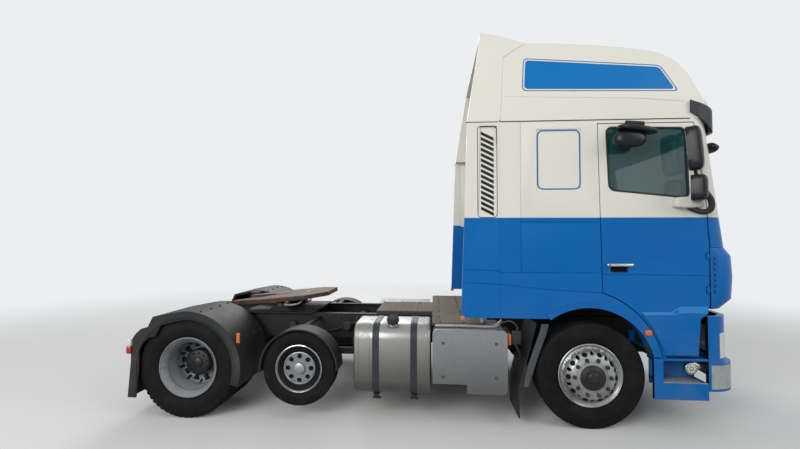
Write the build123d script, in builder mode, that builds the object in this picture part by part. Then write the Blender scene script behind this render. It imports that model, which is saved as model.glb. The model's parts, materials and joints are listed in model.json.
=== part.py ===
from build123d import *
import math
import os

# Tractor unit of an articulated lorry, in millimetres.
# +X points forward, +Y to the truck's left and +Z up.
# The origin is on the ground, under the middle of the truck's length.
# Side -1 is the right of the truck and side +1 the left, with y then measured outwards.

os.makedirs("parts", exist_ok=True)

# Axles
front_axle_x = 1592
wheelbase = 3950
pusher_spacing = 1130
drive_axle_x = front_axle_x - wheelbase
pusher_axle_x = drive_axle_x + pusher_spacing
pusher_axle_z = 505
front_tyre_y = 1033
drive_tyre_y = 1091
twin_spacing = 351
pusher_tyre_y = 1092
kingpin_y = 870

# Clearances between pieces
seat_clearance = 0.3
pin_clearance = 0.3
running_clearance = 6

# Wheels of 22.5 inch, and 17.5 inch on the pusher axle
tyre_r = 500
tyre_width = 315
rim_lip_r = 298.5
rim_width = 254
drop_r = 258
pusher_tyre_r = 365
pusher_tyre_width = 215
pusher_lip_r = 235
pusher_rim_width = 196
pusher_drop_r = 198
hub_bore_r = 40.3
drive_bore_r = 50.3
axle_centre_r = 0.01

# Frame
rail_outer_y = 430
rail_flange = 75
rail_web = 9
rail_height = 270
rail_top_z = 930
rear_overhang = 500
front_overhang = 1020
rail_rear_x = drive_axle_x - rear_overhang
rail_front_x = front_axle_x + front_overhang
rail_bottom_z = rail_top_z - rail_height
rail_inner_y = rail_outer_y - rail_web

# Cab
cab_half_width = 1245
cab_rear_x = front_axle_x - 850
cab_floor_z = 1262
cab_waist_z = 1720
roof_joint_z = 2925
cab_wall = 60
cab_front_wall = 45
cab_rear_wall = 40
floor_thickness = 40
waist_front_x = front_axle_x + 1345
joint_front_x = front_axle_x + 1165
waist_corner_r = 250
joint_corner_r = 190
front_crown = 60
seam_width = 7
seam_depth = 5

# Door
door_gap = 8
door_front_gap = 6
door_bottom_z = 1180
door_skirt_z = 720
door_top_z = roof_joint_z - 40

# Wheel arch and side skirt of the cab
arch_centre = (front_axle_x - 30, 560)
arch_r = 612
skirt_z = 1043
wing_thickness = 40


def save(piece, name):
    piece.part.label = name
    export_step(piece.part, f"parts/{name}.step")


def ahead(points):
    """Side-view points whose x is given from the front axle."""
    return [(front_axle_x + x, z) for x, z in points]


def arc_point(centre_x, centre_z, radius, angle):
    a = math.radians(angle)
    return (centre_x + radius * math.cos(a), centre_z + radius * math.sin(a))


def side_plate(points, y_inner, y_outer, side, grow=0):
    """A flat plate with a side-view outline, between two distances from the middle."""
    plane = Plane.XZ.offset(-side * y_inner)
    with BuildPart(mode=Mode.PRIVATE) as plate:
        with BuildSketch(plane):
            with BuildLine():
                Polyline(*points, close=True)
            make_face()
            if grow:
                offset(amount=grow, kind=Kind.INTERSECTION)
        extrude(amount=-side * (y_outer - y_inner))
    return plate.part


def ring_plate(centre, radii, angles, y_inner, y_outer, side):
    """A curved band about a side-view centre, between two radii and three angles."""
    inner, outer = [[arc_point(*centre, r, a) for a in angles] for r in radii]
    with BuildPart(mode=Mode.PRIVATE) as band:
        with BuildSketch(Plane.XZ.offset(-side * y_inner)):
            with BuildLine():
                ThreePointArc(*outer)
                Line(outer[2], inner[2])
                ThreePointArc(*reversed(inner))
                Line(inner[0], outer[0])
            make_face()
        extrude(amount=-side * (y_outer - y_inner))
    return band.part


def box_between(x, y, z):
    """A block from its lowest and highest x, y and z."""
    with BuildPart(mode=Mode.PRIVATE) as block:
        with Locations(((x[0] + x[1]) / 2, (y[0] + y[1]) / 2, (z[0] + z[1]) / 2)):
            Box(x[1] - x[0], y[1] - y[0], z[1] - z[0])
    return block.part


def side_box(x, y, z, side):
    """A block on one side of the truck."""
    near, far = sorted((side * y[0], side * y[1]))
    return box_between(x, (near, far), z)


def rod(start, end, radius):
    """A round bar from one point to another."""
    line = Vector(*end) - Vector(*start)
    with BuildPart(mode=Mode.PRIVATE) as bar:
        with BuildSketch(Plane(origin=start, z_dir=line)):
            Circle(radius)
        extrude(amount=line.length)
    return bar.part


def cross_bore(centre, radius):
    """A bore right across the truck, about a side-view centre."""
    x, z = centre
    return rod((x, -cab_half_width, z), (x, cab_half_width, z), radius)


def seam(points, side):
    """A shallow groove along side-view points in the skin of the cab."""
    grooves = []
    for (x0, z0), (x1, z1) in zip(points, points[1:]):
        length = math.hypot(x1 - x0, z1 - z0)
        across_x = (z1 - z0) / length * seam_width / 2
        across_z = (x0 - x1) / length * seam_width / 2
        outline = [(x0 - across_x, z0 - across_z), (x1 - across_x, z1 - across_z),
                   (x1 + across_x, z1 + across_z), (x0 + across_x, z0 + across_z)]
        grooves.append(side_plate(outline, cab_half_width - seam_depth, cab_half_width + seam_depth, side))
    return grooves


def turned(profile, axle_x, axle_z, side):
    """A solid of revolution about a wheel's axle. Profile pairs are (distance out, radius)."""
    plane = Plane(origin=(axle_x, 0, axle_z), x_dir=(0, side, 0), z_dir=(side, 0, 0))
    with BuildPart(mode=Mode.PRIVATE) as wheel:
        with BuildSketch(plane):
            with BuildLine():
                Polyline(*profile, close=True)
            make_face()
        revolve(axis=Axis((axle_x, 0, axle_z), (0, 1, 0)))
    return wheel.part


def crowned_plan(z, front_x, half_width, corner_r, rear_x):
    """A level outline with a crowned front edge, round front corners and straight sides."""
    corner_x = front_x - front_crown - corner_r
    flat_y = half_width - corner_r
    diagonal = corner_r * math.sqrt(0.5)
    with BuildSketch(Plane.XY.offset(z), mode=Mode.PRIVATE) as plan:
        with BuildLine():
            ThreePointArc((front_x - front_crown, -flat_y), (front_x, 0), (front_x - front_crown, flat_y))
            ThreePointArc((front_x - front_crown, flat_y), (corner_x + diagonal, flat_y + diagonal),
                          (corner_x, half_width))
            Polyline((corner_x, half_width), (rear_x, half_width), (rear_x, -half_width),
                     (corner_x, -half_width))
            ThreePointArc((corner_x, -half_width), (corner_x + diagonal, -flat_y - diagonal),
                          (front_x - front_crown, -flat_y))
        make_face()
    return plan.sketch


def front_block(front_x, half_width, corner_r, rear_x, z):
    """A block of constant height with a crowned front."""
    with BuildPart(mode=Mode.PRIVATE) as block:
        extrude(crowned_plan(z[0], front_x, half_width, corner_r, rear_x), amount=z[1] - z[0])
    return block.part


def front_loft(sections, half_width, rear_x):
    """A ruled loft through crowned plans. Sections are (z, front x, corner radius)."""
    plans = [crowned_plan(z, front_x, half_width, corner_r, rear_x) for z, front_x, corner_r in sections]
    with BuildPart(mode=Mode.PRIVATE) as block:
        loft(plans, ruled=True)
    return block.part


# Tyres
bead_setback = 14.5
bead_depth = 15
tread_shoulder = 40


def tyre_profile(centre_y, width, outer_r, lip_r, lip_width):
    """Outline of a tyre: beads, bulging sidewalls, shoulders and a flat tread."""
    half = width / 2
    bead = lip_width / 2 - bead_setback
    depth = outer_r - lip_r
    right = [
        (bead, lip_r - bead_depth + seat_clearance),
        (bead, lip_r + seat_clearance),
        (0.96 * half, lip_r + 0.3 * depth),
        (half, lip_r + 0.5 * depth),
        (0.94 * half, outer_r - 0.2 * depth),
        (half - tread_shoulder / 2, outer_r - 0.04 * depth),
        (half - tread_shoulder, outer_r),
    ]
    left = [(-offset, radius) for offset, radius in reversed(right)]
    return [(centre_y + offset, radius) for offset, radius in right + left]


def make_tyres(name, axle_x, axle_z, side, centres, width, outer_r, lip_r, lip_width):
    with BuildPart() as tyres:
        for centre_y in centres:
            profile = tyre_profile(centre_y, width, outer_r, lip_r, lip_width)
            add(turned(profile, axle_x, axle_z, side))
    save(tyres, name)


# Rims. Their tables hold (distance outwards from the outer lip's plane, radius)
lip_thickness = 12
rim_wall = 14
seat_taper = 6


def rim_skin(centre_y, lip_r, width, drop_centre_r):
    """Outer skin of a rim from its inner lip to its outer lip."""
    seat_r = lip_r - bead_depth
    half_skin = [(0, lip_r), (8, lip_r), (14, seat_r), (60, seat_r - seat_taper), (78, drop_centre_r)]
    inner = [(centre_y - width / 2 + depth, radius) for depth, radius in half_skin]
    outer = [(centre_y + width / 2 - depth, radius) for depth, radius in reversed(half_skin)]
    return inner + outer


# Front rims: convex disc outwards, with the brake disc behind it
brake_inner_y = kingpin_y + 66
brake_outer_y = kingpin_y + 100
brake_r = 215
brake_hub_r = 110
front_disc_out = 70
front_disc = [(-20, 264.5), (36, 236), (front_disc_out, 200), (front_disc_out, 141), (82, 100), (88, 62),
              (88, axle_centre_r), (50, axle_centre_r)]
front_disc_back = [(10, brake_hub_r), (44, 141), (46, 196), (14, 232), (-56, drop_r - rim_wall)]
vent_count = 10
vent_r = 17
vent_circle_r = 222
vent_depth = 120
inner_lip_run = 70


def make_front_rim(side, name):
    lip_y = front_tyre_y + rim_width / 2
    inner_y = front_tyre_y - rim_width / 2
    inside = [(lip_y, rim_lip_r - lip_thickness)]
    inside += [(lip_y + out, radius) for out, radius in front_disc]
    inside += [(lip_y + front_disc[-1][0], hub_bore_r), (brake_inner_y, hub_bore_r),
               (brake_inner_y, brake_r), (brake_outer_y, brake_r), (brake_outer_y, brake_hub_r)]
    inside += [(lip_y + out, radius) for out, radius in front_disc_back]
    inside += [(inner_y + inner_lip_run, drop_r - rim_wall), (inner_y, rim_lip_r - lip_thickness)]
    with BuildPart() as rim:
        add(turned(rim_skin(front_tyre_y, rim_lip_r, rim_width, drop_r) + inside,
                   front_axle_x, tyre_r, side))
        face_y = lip_y + front_disc_out + running_clearance
        vents = Plane(origin=(front_axle_x, side * face_y, tyre_r), z_dir=(0, side, 0))
        with BuildSketch(vents):
            with PolarLocations(vent_circle_r, vent_count):
                Circle(vent_r)
        extrude(amount=-vent_depth, mode=Mode.SUBTRACT)
    save(rim, name)


# Drive rims: twin rims bolted face to face on one hub
twin_mid_y = drive_tyre_y - twin_spacing / 2
disc_half = 18
disc_edge_r = 205
drive_hub_r = 135
drive_hub = [(-205, drive_hub_r), (-190, drive_hub_r - 15), (-190, axle_centre_r), (-225, axle_centre_r),
             (-225, drive_bore_r)]
hub_tail = 120
hub_tail_r = 200
neck_r = 238.5
neck_setback = 10
oval_vent = (24, 15)


def make_drive_rims(side, name):
    lip_y = drive_tyre_y + rim_width / 2
    neck_y = drive_tyre_y - rim_width / 2
    inner_tyre_y = drive_tyre_y - twin_spacing
    inner_neck_y = inner_tyre_y + rim_width / 2
    tail_y = inner_tyre_y - rim_width / 2
    wall_r = drop_r - rim_wall
    inside = [(lip_y, rim_lip_r - lip_thickness), (lip_y - inner_lip_run, wall_r),
              (neck_y + 30, wall_r), (twin_mid_y + disc_half, disc_edge_r),
              (twin_mid_y + disc_half, drive_hub_r)]
    inside += [(lip_y + out, radius) for out, radius in drive_hub]
    inside += [(twin_mid_y - hub_tail, drive_bore_r), (twin_mid_y - hub_tail, hub_tail_r),
               (twin_mid_y - disc_half, disc_edge_r), (inner_neck_y - 30, wall_r),
               (tail_y + inner_lip_run, wall_r), (tail_y, rim_lip_r - lip_thickness)]
    neck = [(inner_neck_y + neck_setback, neck_r), (neck_y - neck_setback, neck_r)]
    outline = (rim_skin(inner_tyre_y, rim_lip_r, rim_width, drop_r) + neck
               + rim_skin(drive_tyre_y, rim_lip_r, rim_width, drop_r) + inside)
    with BuildPart() as rims:
        add(turned(outline, drive_axle_x, tyre_r, side))
        vents = Plane(origin=(drive_axle_x, side * (twin_mid_y + vent_depth / 2), tyre_r),
                      z_dir=(0, side, 0))
        with BuildSketch(vents):
            with PolarLocations(vent_circle_r, vent_count):
                Ellipse(*oval_vent)
        extrude(amount=-vent_depth, mode=Mode.SUBTRACT)
    save(rims, name)


# Pusher rims: small single rims, each with a pierced cover plate
pusher_disc = [(-60, 188), (-74, 168), (-42, 160), (-30, 140), (-30, 60), (-12, 52), (-12, axle_centre_r),
               (-90, axle_centre_r), (-90, hub_bore_r)]
pusher_inner_hub = (40, 150)
pusher_wall_r = 184
cover_hole_count = 8
cover_hole_r = 24
cover_hole_circle_r = 118
cover_hole_depth = 56


def make_pusher_rim(side, name):
    lip_y = pusher_tyre_y + pusher_rim_width / 2
    inner_y = pusher_tyre_y - pusher_rim_width / 2
    hub_y = inner_y + pusher_inner_hub[0]
    inside = [(lip_y, pusher_lip_r - lip_thickness)]
    inside += [(lip_y + out, radius) for out, radius in pusher_disc]
    inside += [(hub_y, hub_bore_r), (hub_y, pusher_inner_hub[1]), (lip_y - 100, pusher_wall_r),
               (inner_y + 50, pusher_wall_r + 2), (inner_y, pusher_lip_r - lip_thickness)]
    with BuildPart() as rim:
        add(turned(rim_skin(pusher_tyre_y, pusher_lip_r, pusher_rim_width, pusher_drop_r) + inside,
                   pusher_axle_x, pusher_axle_z, side))
        face = Plane(origin=(pusher_axle_x, side * lip_y, pusher_axle_z), z_dir=(0, side, 0))
        with BuildSketch(face):
            with PolarLocations(cover_hole_circle_r, cover_hole_count):
                Circle(cover_hole_r)
        extrude(amount=-cover_hole_depth, mode=Mode.SUBTRACT)
    save(rim, name)


for side, hand in ((-1, "right"), (1, "left")):
    make_tyres(f"tyre_front_{hand}", front_axle_x, tyre_r, side, [front_tyre_y],
               tyre_width, tyre_r, rim_lip_r, rim_width)
    make_tyres(f"tyres_drive_{hand}", drive_axle_x, tyre_r, side,
               [drive_tyre_y, drive_tyre_y - twin_spacing], tyre_width, tyre_r, rim_lip_r, rim_width)
    make_tyres(f"tyre_pusher_{hand}", pusher_axle_x, pusher_axle_z, side, [pusher_tyre_y],
               pusher_tyre_width, pusher_tyre_r, pusher_lip_r, pusher_rim_width)
    make_front_rim(side, f"rim_front_{hand}")
    make_drive_rims(side, f"rims_drive_{hand}")
    make_pusher_rim(side, f"rim_pusher_{hand}")

# Frame rails with their cross members, the cab's tilt brackets and its rear posts
cross_tube_r = 55
cross_xs = [drive_axle_x + 330, drive_axle_x - 330, pusher_axle_x + 420, front_axle_x - 1150]
front_cross_x = front_axle_x + 960
cross_width = 60
tilt_pivot = (front_axle_x + 1200, 950)
tilt_pin_r = 20
tilt_bracket_y = (rail_outer_y - 30, rail_outer_y)
tilt_arm_y = (rail_outer_y + 8, rail_outer_y + 34)
cab_post_x = (cab_rear_x + 50, cab_rear_x + 110)
bracket_outline = [(rail_front_x - 30, rail_top_z - 130), (rail_front_x - 30, rail_top_z),
                   (tilt_pivot[0] - 20, tilt_pivot[1] + 32), (tilt_pivot[0] + 20, tilt_pivot[1] + 32),
                   (tilt_pivot[0] + 34, tilt_pivot[1]), (tilt_pivot[0] + 20, tilt_pivot[1] - 32),
                   (rail_front_x + 60, rail_top_z - 130)]

with BuildPart() as frame_rails:
    for side in (-1, 1):
        add(side_box((rail_rear_x, rail_front_x), (rail_inner_y, rail_outer_y),
                     (rail_bottom_z, rail_top_z), side))
        for z in (rail_bottom_z, rail_top_z - rail_web):
            add(side_box((rail_rear_x, rail_front_x), (rail_outer_y - rail_flange, rail_outer_y),
                         (z, z + rail_web), side))
    middle_z = rail_bottom_z + rail_height / 2
    for x in cross_xs:
        add(rod((x, -rail_inner_y - 2, middle_z), (x, rail_inner_y + 2, middle_z), cross_tube_r))
    for x in (rail_rear_x, front_cross_x):
        add(box_between((x, x + cross_width), (-rail_outer_y, rail_outer_y), (rail_bottom_z, rail_top_z)))
    for side in (-1, 1):
        add(side_plate(bracket_outline, *tilt_bracket_y, side))
        add(side_box(cab_post_x, tilt_bracket_y, (rail_top_z - 5, cab_floor_z - seat_clearance), side))
    add(cross_bore(tilt_pivot, tilt_pin_r + pin_clearance), mode=Mode.SUBTRACT)
save(frame_rails, "frame_rails")

# Engine as one plain block between the rails, on four mounting feet
engine_x = (front_axle_x - 560, front_axle_x + 800)
engine_half_width = 325
engine_z = (560, cab_floor_z - 37)
foot_z = (rail_bottom_z + 90, rail_bottom_z + 170)
foot_length = 110

with BuildPart() as engine_block:
    add(box_between(engine_x, (-engine_half_width, engine_half_width), engine_z))
    for x in (engine_x[0] + 150, engine_x[1] - 250):
        for side in (-1, 1):
            add(side_box((x, x + foot_length), (engine_half_width - 10, rail_inner_y), foot_z, side))
save(engine_block, "engine_block")

# Front axle beam: low in the middle, with an eye at each end for the kingpin
kingpin_r = 22
beam_half_depth = 45
beam_low_z = (360, 450)
eye_r = 40
eye_wall_r = eye_r + 8
eye_half_height = 50
spring_y = 430
spring_width = 80
spring_z = 585
spring_thickness = 40
seat_half_length = 75
beam_half_outline = [(kingpin_y, tyre_r + 45), (kingpin_y, tyre_r - 45), (640, 400), (580, beam_low_z[0])]
beam_top = [(-620, 490), (-560, beam_low_z[1]), (560, beam_low_z[1]), (620, 490)]

with BuildPart() as front_axle_beam:
    with BuildSketch(Plane.YZ.offset(front_axle_x - beam_half_depth)):
        with BuildLine():
            left_end = [(-y, z) for y, z in reversed(beam_half_outline)]
            Polyline(*beam_top, *beam_half_outline, *left_end, close=True)
        make_face()
    extrude(amount=2 * beam_half_depth)
    for side in (-1, 1):
        add(rod((front_axle_x, side * kingpin_y, tyre_r - eye_half_height),
                (front_axle_x, side * kingpin_y, tyre_r + eye_half_height), eye_wall_r))
        add(side_box((front_axle_x - seat_half_length, front_axle_x + seat_half_length),
                     (spring_y - spring_width / 2, spring_y + spring_width / 2),
                     (beam_low_z[1] - 5, spring_z - spring_thickness / 2), side))
    with Locations((front_axle_x, -kingpin_y, tyre_r), (front_axle_x, kingpin_y, tyre_r)):
        Cylinder(kingpin_r + pin_clearance, 2 * eye_wall_r + 2 * eye_half_height, mode=Mode.SUBTRACT)
save(front_axle_beam, "front_axle_beam")

# Knuckles: kingpin, two ears, a back plate and the stub that the wheel turns on
ear_height = 34
back_plate = 8
plate_overhang = 25
plate_out_y = brake_inner_y - running_clearance


def make_knuckle(side, name):
    ear_from = eye_half_height + running_clearance
    ear_to = ear_from + ear_height
    stub_end_y = front_tyre_y + rim_width / 2 + front_disc_back[1][0]
    with BuildPart() as knuckle:
        add(rod((front_axle_x, side * kingpin_y, tyre_r - ear_to),
                (front_axle_x, side * kingpin_y, tyre_r + ear_to), kingpin_r))
        for direction in (-1, 1):
            z = sorted([tyre_r + direction * ear_from, tyre_r + direction * ear_to])
            add(rod((front_axle_x, side * kingpin_y, z[0]), (front_axle_x, side * kingpin_y, z[1]), eye_r))
            add(side_box((front_axle_x - eye_r, front_axle_x + eye_r), (kingpin_y, plate_out_y), z, side))
        add(side_box((front_axle_x - eye_r - plate_overhang, front_axle_x + eye_r + plate_overhang),
                     (plate_out_y - back_plate, plate_out_y), (tyre_r - ear_to, tyre_r + ear_to), side))
        add(rod((front_axle_x, side * (plate_out_y - back_plate), tyre_r),
                (front_axle_x, side * stub_end_y, tyre_r), hub_bore_r - pin_clearance))
    save(knuckle, name)


for side, hand in ((-1, "right"), (1, "left")):
    make_knuckle(side, f"knuckle_{hand}")

# Drive axle: differential housing, tubes and stubs for the twin wheels, on two trailing arms
axle_tube_r = 68
banjo_r = 225
banjo_x = (drive_axle_x - 190, drive_axle_x + 130)
pinion_x = (drive_axle_x + 100, drive_axle_x + 330)
arm_y = (rail_outer_y - 90, rail_outer_y - 10)
arm_half_length = 300
arm_z = (tyre_r - 110, tyre_r - 50)

with BuildPart() as drive_axle:
    tube_y = twin_mid_y - hub_tail - running_clearance
    stub_y = drive_tyre_y - 105
    add(rod((drive_axle_x, -tube_y, tyre_r), (drive_axle_x, tube_y, tyre_r), axle_tube_r))
    add(rod((drive_axle_x, -stub_y, tyre_r), (drive_axle_x, stub_y, tyre_r), drive_bore_r - pin_clearance))
    add(rod((banjo_x[0], 0, tyre_r), (banjo_x[1], 0, tyre_r), banjo_r))
    add(box_between(pinion_x, (-90, 90), (tyre_r - 80, tyre_r + 60)))
    for side in (-1, 1):
        add(side_box((drive_axle_x - arm_half_length, drive_axle_x + arm_half_length), arm_y, arm_z, side))
save(drive_axle, "drive_axle")

# Propeller shaft from the engine block to the drive axle
shaft_r = 60
yoke_r = 78
yoke_length = 90

with BuildPart() as propeller_shaft:
    shaft_rear = (pinion_x[1] + seat_clearance, 0, tyre_r)
    shaft_front = (engine_x[0] - seat_clearance, 0, tyre_r + 110)
    add(rod((shaft_rear[0] + yoke_length - 10, 0, shaft_rear[2] + 4),
            (shaft_front[0] - yoke_length + 10, 0, shaft_front[2] - 4), shaft_r))
    add(rod(shaft_rear, (shaft_rear[0] + yoke_length, 0, tyre_r), yoke_r))
    add(rod((shaft_front[0] - yoke_length, 0, shaft_front[2]), shaft_front, yoke_r))
save(propeller_shaft, "propeller_shaft")

# Pusher axle, lifted: a beam dropped under the propeller shaft, with its stubs and two lift arms
pusher_tube_r = 50
crank_y = 290
crank_drop = 135
crank_half = 42
lift_arm_y = (rail_outer_y - 80, rail_outer_y - 20)
lift_arm_x = (pusher_axle_x - 60, pusher_axle_x + 480)
lift_arm_z = (pusher_axle_z - 45, pusher_axle_z + 25)

with BuildPart() as pusher_axle:
    tube_y = pusher_tyre_y - pusher_rim_width / 2
    stub_y = pusher_tyre_y + 4
    crank_x = (pusher_axle_x - crank_half, pusher_axle_x + crank_half)
    beam_z = (pusher_axle_z - crank_drop - crank_half, pusher_axle_z - crank_drop + crank_half)
    add(box_between(crank_x, (-crank_y, crank_y), beam_z))
    for side in (-1, 1):
        add(side_box(crank_x, (crank_y - crank_half, crank_y + crank_half),
                     (beam_z[0], pusher_axle_z + crank_half), side))
        add(rod((pusher_axle_x, side * crank_y, pusher_axle_z),
                (pusher_axle_x, side * tube_y, pusher_axle_z), pusher_tube_r))
        add(rod((pusher_axle_x, side * crank_y, pusher_axle_z),
                (pusher_axle_x, side * stub_y, pusher_axle_z), hub_bore_r - pin_clearance))
        add(side_box(lift_arm_x, lift_arm_y, lift_arm_z, side))
        add(side_box((lift_arm_x[1] - 80, lift_arm_x[1]), lift_arm_y, (lift_arm_z[0], rail_bottom_z), side))
save(pusher_axle, "pusher_axle")

# Front leaf springs with their hangers, and the air bellows of both rear axles
spring_half_length = 850
hanger_length = 90
bellows_y = rail_outer_y - 50
drive_bellows_r = 90
pusher_bellows_r = 75
bellows_offset = 230

with BuildPart() as springs:
    for side in (-1, 1):
        add(side_box((front_axle_x - spring_half_length, front_axle_x + spring_half_length),
                     (spring_y - spring_width / 2, spring_y + spring_width / 2),
                     (spring_z - spring_thickness / 2, spring_z + spring_thickness / 2), side))
        for x in (front_axle_x - spring_half_length, front_axle_x + spring_half_length - hanger_length):
            add(side_box((x, x + hanger_length), (spring_y - spring_width / 2, rail_outer_y - 5),
                         (spring_z, rail_bottom_z), side))
        for x in (drive_axle_x - bellows_offset, drive_axle_x + bellows_offset):
            add(rod((x, side * bellows_y, arm_z[1]), (x, side * bellows_y, rail_bottom_z), drive_bellows_r))
        add(rod((pusher_axle_x, side * bellows_y, pusher_axle_z + pusher_tube_r),
                (pusher_axle_x, side * bellows_y, rail_bottom_z), pusher_bellows_r))
save(springs, "springs")

# Air tanks, lengthwise under the frame on both sides of the propeller shaft
air_tank_r = 105
air_tank_y = 215
air_tank_z = rail_bottom_z - 125
air_tank_x = (pusher_axle_x + 560, pusher_axle_x + 1140)
air_band = 40
air_hanger_thickness = 14

with BuildPart() as air_tanks:
    for side in (-1, 1):
        add(rod((air_tank_x[0], side * air_tank_y, air_tank_z),
                (air_tank_x[1], side * air_tank_y, air_tank_z), air_tank_r))
        for x in (air_tank_x[0] + 80, air_tank_x[1] - 80 - air_band):
            add(side_box((x, x + air_band), (air_tank_y - air_band, air_tank_y + air_band),
                         (air_tank_z, rail_bottom_z), side))
            add(side_box((x, x + air_band), (air_tank_y, rail_outer_y - rail_flange + 20),
                         (rail_bottom_z - air_hanger_thickness, rail_bottom_z), side))
save(air_tanks, "air_tanks")

# Fifth wheel: base plate with bearing blocks, and the plate that rocks on them
fifth_wheel_x = drive_axle_x + 650
plate_top_z = 1104
plate_thickness = 48
plate_rest_tilt = 5.8
plate_half_width = 460
throat_r = 25.5
throat_half_mouth = 150
pivot_z = plate_top_z - plate_thickness - 38
pivot_r = 24
block_y = (300, 400)
block_wall = 26
base_plate = 14
base_half_length = 420
base_half_width = rail_outer_y + 45
lug_r = 40
lug_clearance = 3
# Half of the plate's outline from its front to its throat: (x from the kingpin, y)
plate_half_outline = [(560, 250), (330, plate_half_width), (-180, plate_half_width), (-600, 330),
                      (-600, 205), (-330, throat_half_mouth), (-120, throat_r), (0, throat_r)]

with BuildPart() as fifth_wheel_base:
    base_top_z = rail_top_z + base_plate
    add(box_between((fifth_wheel_x - base_half_length, fifth_wheel_x + base_half_length),
                    (-base_half_width, base_half_width), (rail_top_z, base_top_z)))
    for side in (-1, 1):
        block = [(fifth_wheel_x - 150, base_top_z - 1), (fifth_wheel_x + 150, base_top_z - 1),
                 (fifth_wheel_x + 42, pivot_z + 8), (fifth_wheel_x + 22, pivot_z + 30),
                 (fifth_wheel_x - 22, pivot_z + 30), (fifth_wheel_x - 42, pivot_z + 8)]
        for y in (block_y[0], block_y[1] - block_wall):
            add(side_plate(block, y, y + block_wall, side))
    add(cross_bore((fifth_wheel_x, pivot_z), pivot_r + pin_clearance), mode=Mode.SUBTRACT)
save(fifth_wheel_base, "fifth_wheel_base")

with BuildPart() as plate_blank:
    with BuildSketch(Plane.XY.offset(plate_top_z - plate_thickness)):
        with BuildLine():
            left = [(fifth_wheel_x + x, y) for x, y in plate_half_outline]
            right = [(x, -y) for x, y in reversed(left)]
            Polyline(*left, *right, close=True)
        make_face()
        with Locations((fifth_wheel_x, 0)):
            Circle(throat_r, mode=Mode.SUBTRACT)
    extrude(amount=plate_thickness)
    for side in (-1, 1):
        lug_y = (block_y[0] + block_wall + lug_clearance, block_y[1] - block_wall - lug_clearance)
        add(side_box((fifth_wheel_x - lug_r, fifth_wheel_x + lug_r), lug_y,
                     (pivot_z, plate_top_z - plate_thickness + 5), side))
        add(rod((fifth_wheel_x, side * lug_y[0], pivot_z), (fifth_wheel_x, side * lug_y[1], pivot_z),
                lug_r))
        add(rod((fifth_wheel_x, side * block_y[0], pivot_z),
                (fifth_wheel_x, side * block_y[1], pivot_z), pivot_r))

with BuildPart() as fifth_wheel_plate:
    pivot = Axis((fifth_wheel_x, 0, pivot_z), (0, 1, 0))
    add(plate_blank.part.rotate(pivot, -plate_rest_tilt))
save(fifth_wheel_plate, "fifth_wheel_plate")

# Catwalk behind the cab: a wide deck and a narrow one between the rails
deck_thickness = 28
deck_front_x = front_axle_x - 960
deck_rear_x = front_axle_x - 1500
deck_half_width = 1080
narrow_deck_rear_x = pusher_axle_x + 670
narrow_half_width = rail_outer_y - 60

with BuildPart() as catwalk:
    deck_z = (rail_top_z, rail_top_z + deck_thickness)
    add(box_between((deck_rear_x, deck_front_x), (-deck_half_width, deck_half_width), deck_z))
    add(box_between((narrow_deck_rear_x, deck_rear_x + 10), (-narrow_half_width, narrow_half_width), deck_z))
save(catwalk, "catwalk")

# Fuel tank on the right, with two straps on brackets from the rail
tank_x = (pusher_axle_x + pusher_tyre_r + 185, front_axle_x - 1510)
tank_z = (268, 958)
tank_y = (600, 1215)
tank_corner_r = 150
tank_size = (tank_y[1] - tank_y[0], tank_z[1] - tank_z[0])
tank_middle = (-(tank_y[0] + tank_y[1]) / 2, (tank_z[0] + tank_z[1]) / 2)
strap_places = (0.29, 0.78)
strap_width = 66
strap_thickness = 6
strap_bracket_z = (rail_bottom_z - 180, rail_top_z - 20)
cap_place = 0.504
cap_y = tank_y[1] - 130
cap_r = 62
cap_rise = 45


def along_tank(place):
    """The x at a share of the tank's length from its rear end."""
    return tank_x[0] + place * (tank_x[1] - tank_x[0])


with BuildPart() as fuel_tank:
    with BuildSketch(Plane.YZ.offset(tank_x[0])):
        with Locations(tank_middle):
            RectangleRounded(*tank_size, tank_corner_r)
    extrude(amount=tank_x[1] - tank_x[0])
    cap_x = along_tank(cap_place)
    add(rod((cap_x, -cap_y, tank_z[1] - 20), (cap_x, -cap_y, tank_z[1] + cap_rise), cap_r))
save(fuel_tank, "fuel_tank")

with BuildPart() as tank_straps:
    for x in [along_tank(place) for place in strap_places]:
        for grow, mode in ((seat_clearance + strap_thickness, Mode.ADD), (seat_clearance, Mode.SUBTRACT)):
            with BuildSketch(Plane.YZ.offset(x - strap_width / 2)):
                with Locations(tank_middle):
                    RectangleRounded(tank_size[0] + 2 * grow, tank_size[1] + 2 * grow, tank_corner_r + grow)
            extrude(amount=strap_width, mode=mode)
        add(side_box((x - 20, x + 20), (rail_outer_y, tank_y[0] - strap_thickness + 2), strap_bracket_z, -1))
save(tank_straps, "tank_straps")

# Cover box on the right, with a raised rear bottom edge; battery box and silencer on the left
box_x = (front_axle_x - 1495, front_axle_x - 780)
box_z = (312, 918)
box_y = (640, 1220)
box_corner_r = 45
box_step_z = 90
box_step_x = 330
silencer_x = (tank_x[0] + 20, tank_x[1] - 30)
silencer_z = (350, 905)
silencer_y = (600, 1205)
silencer_corner_r = 120
bracket_width = 60
bracket_z = (rail_bottom_z, rail_top_z - 20)

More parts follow.
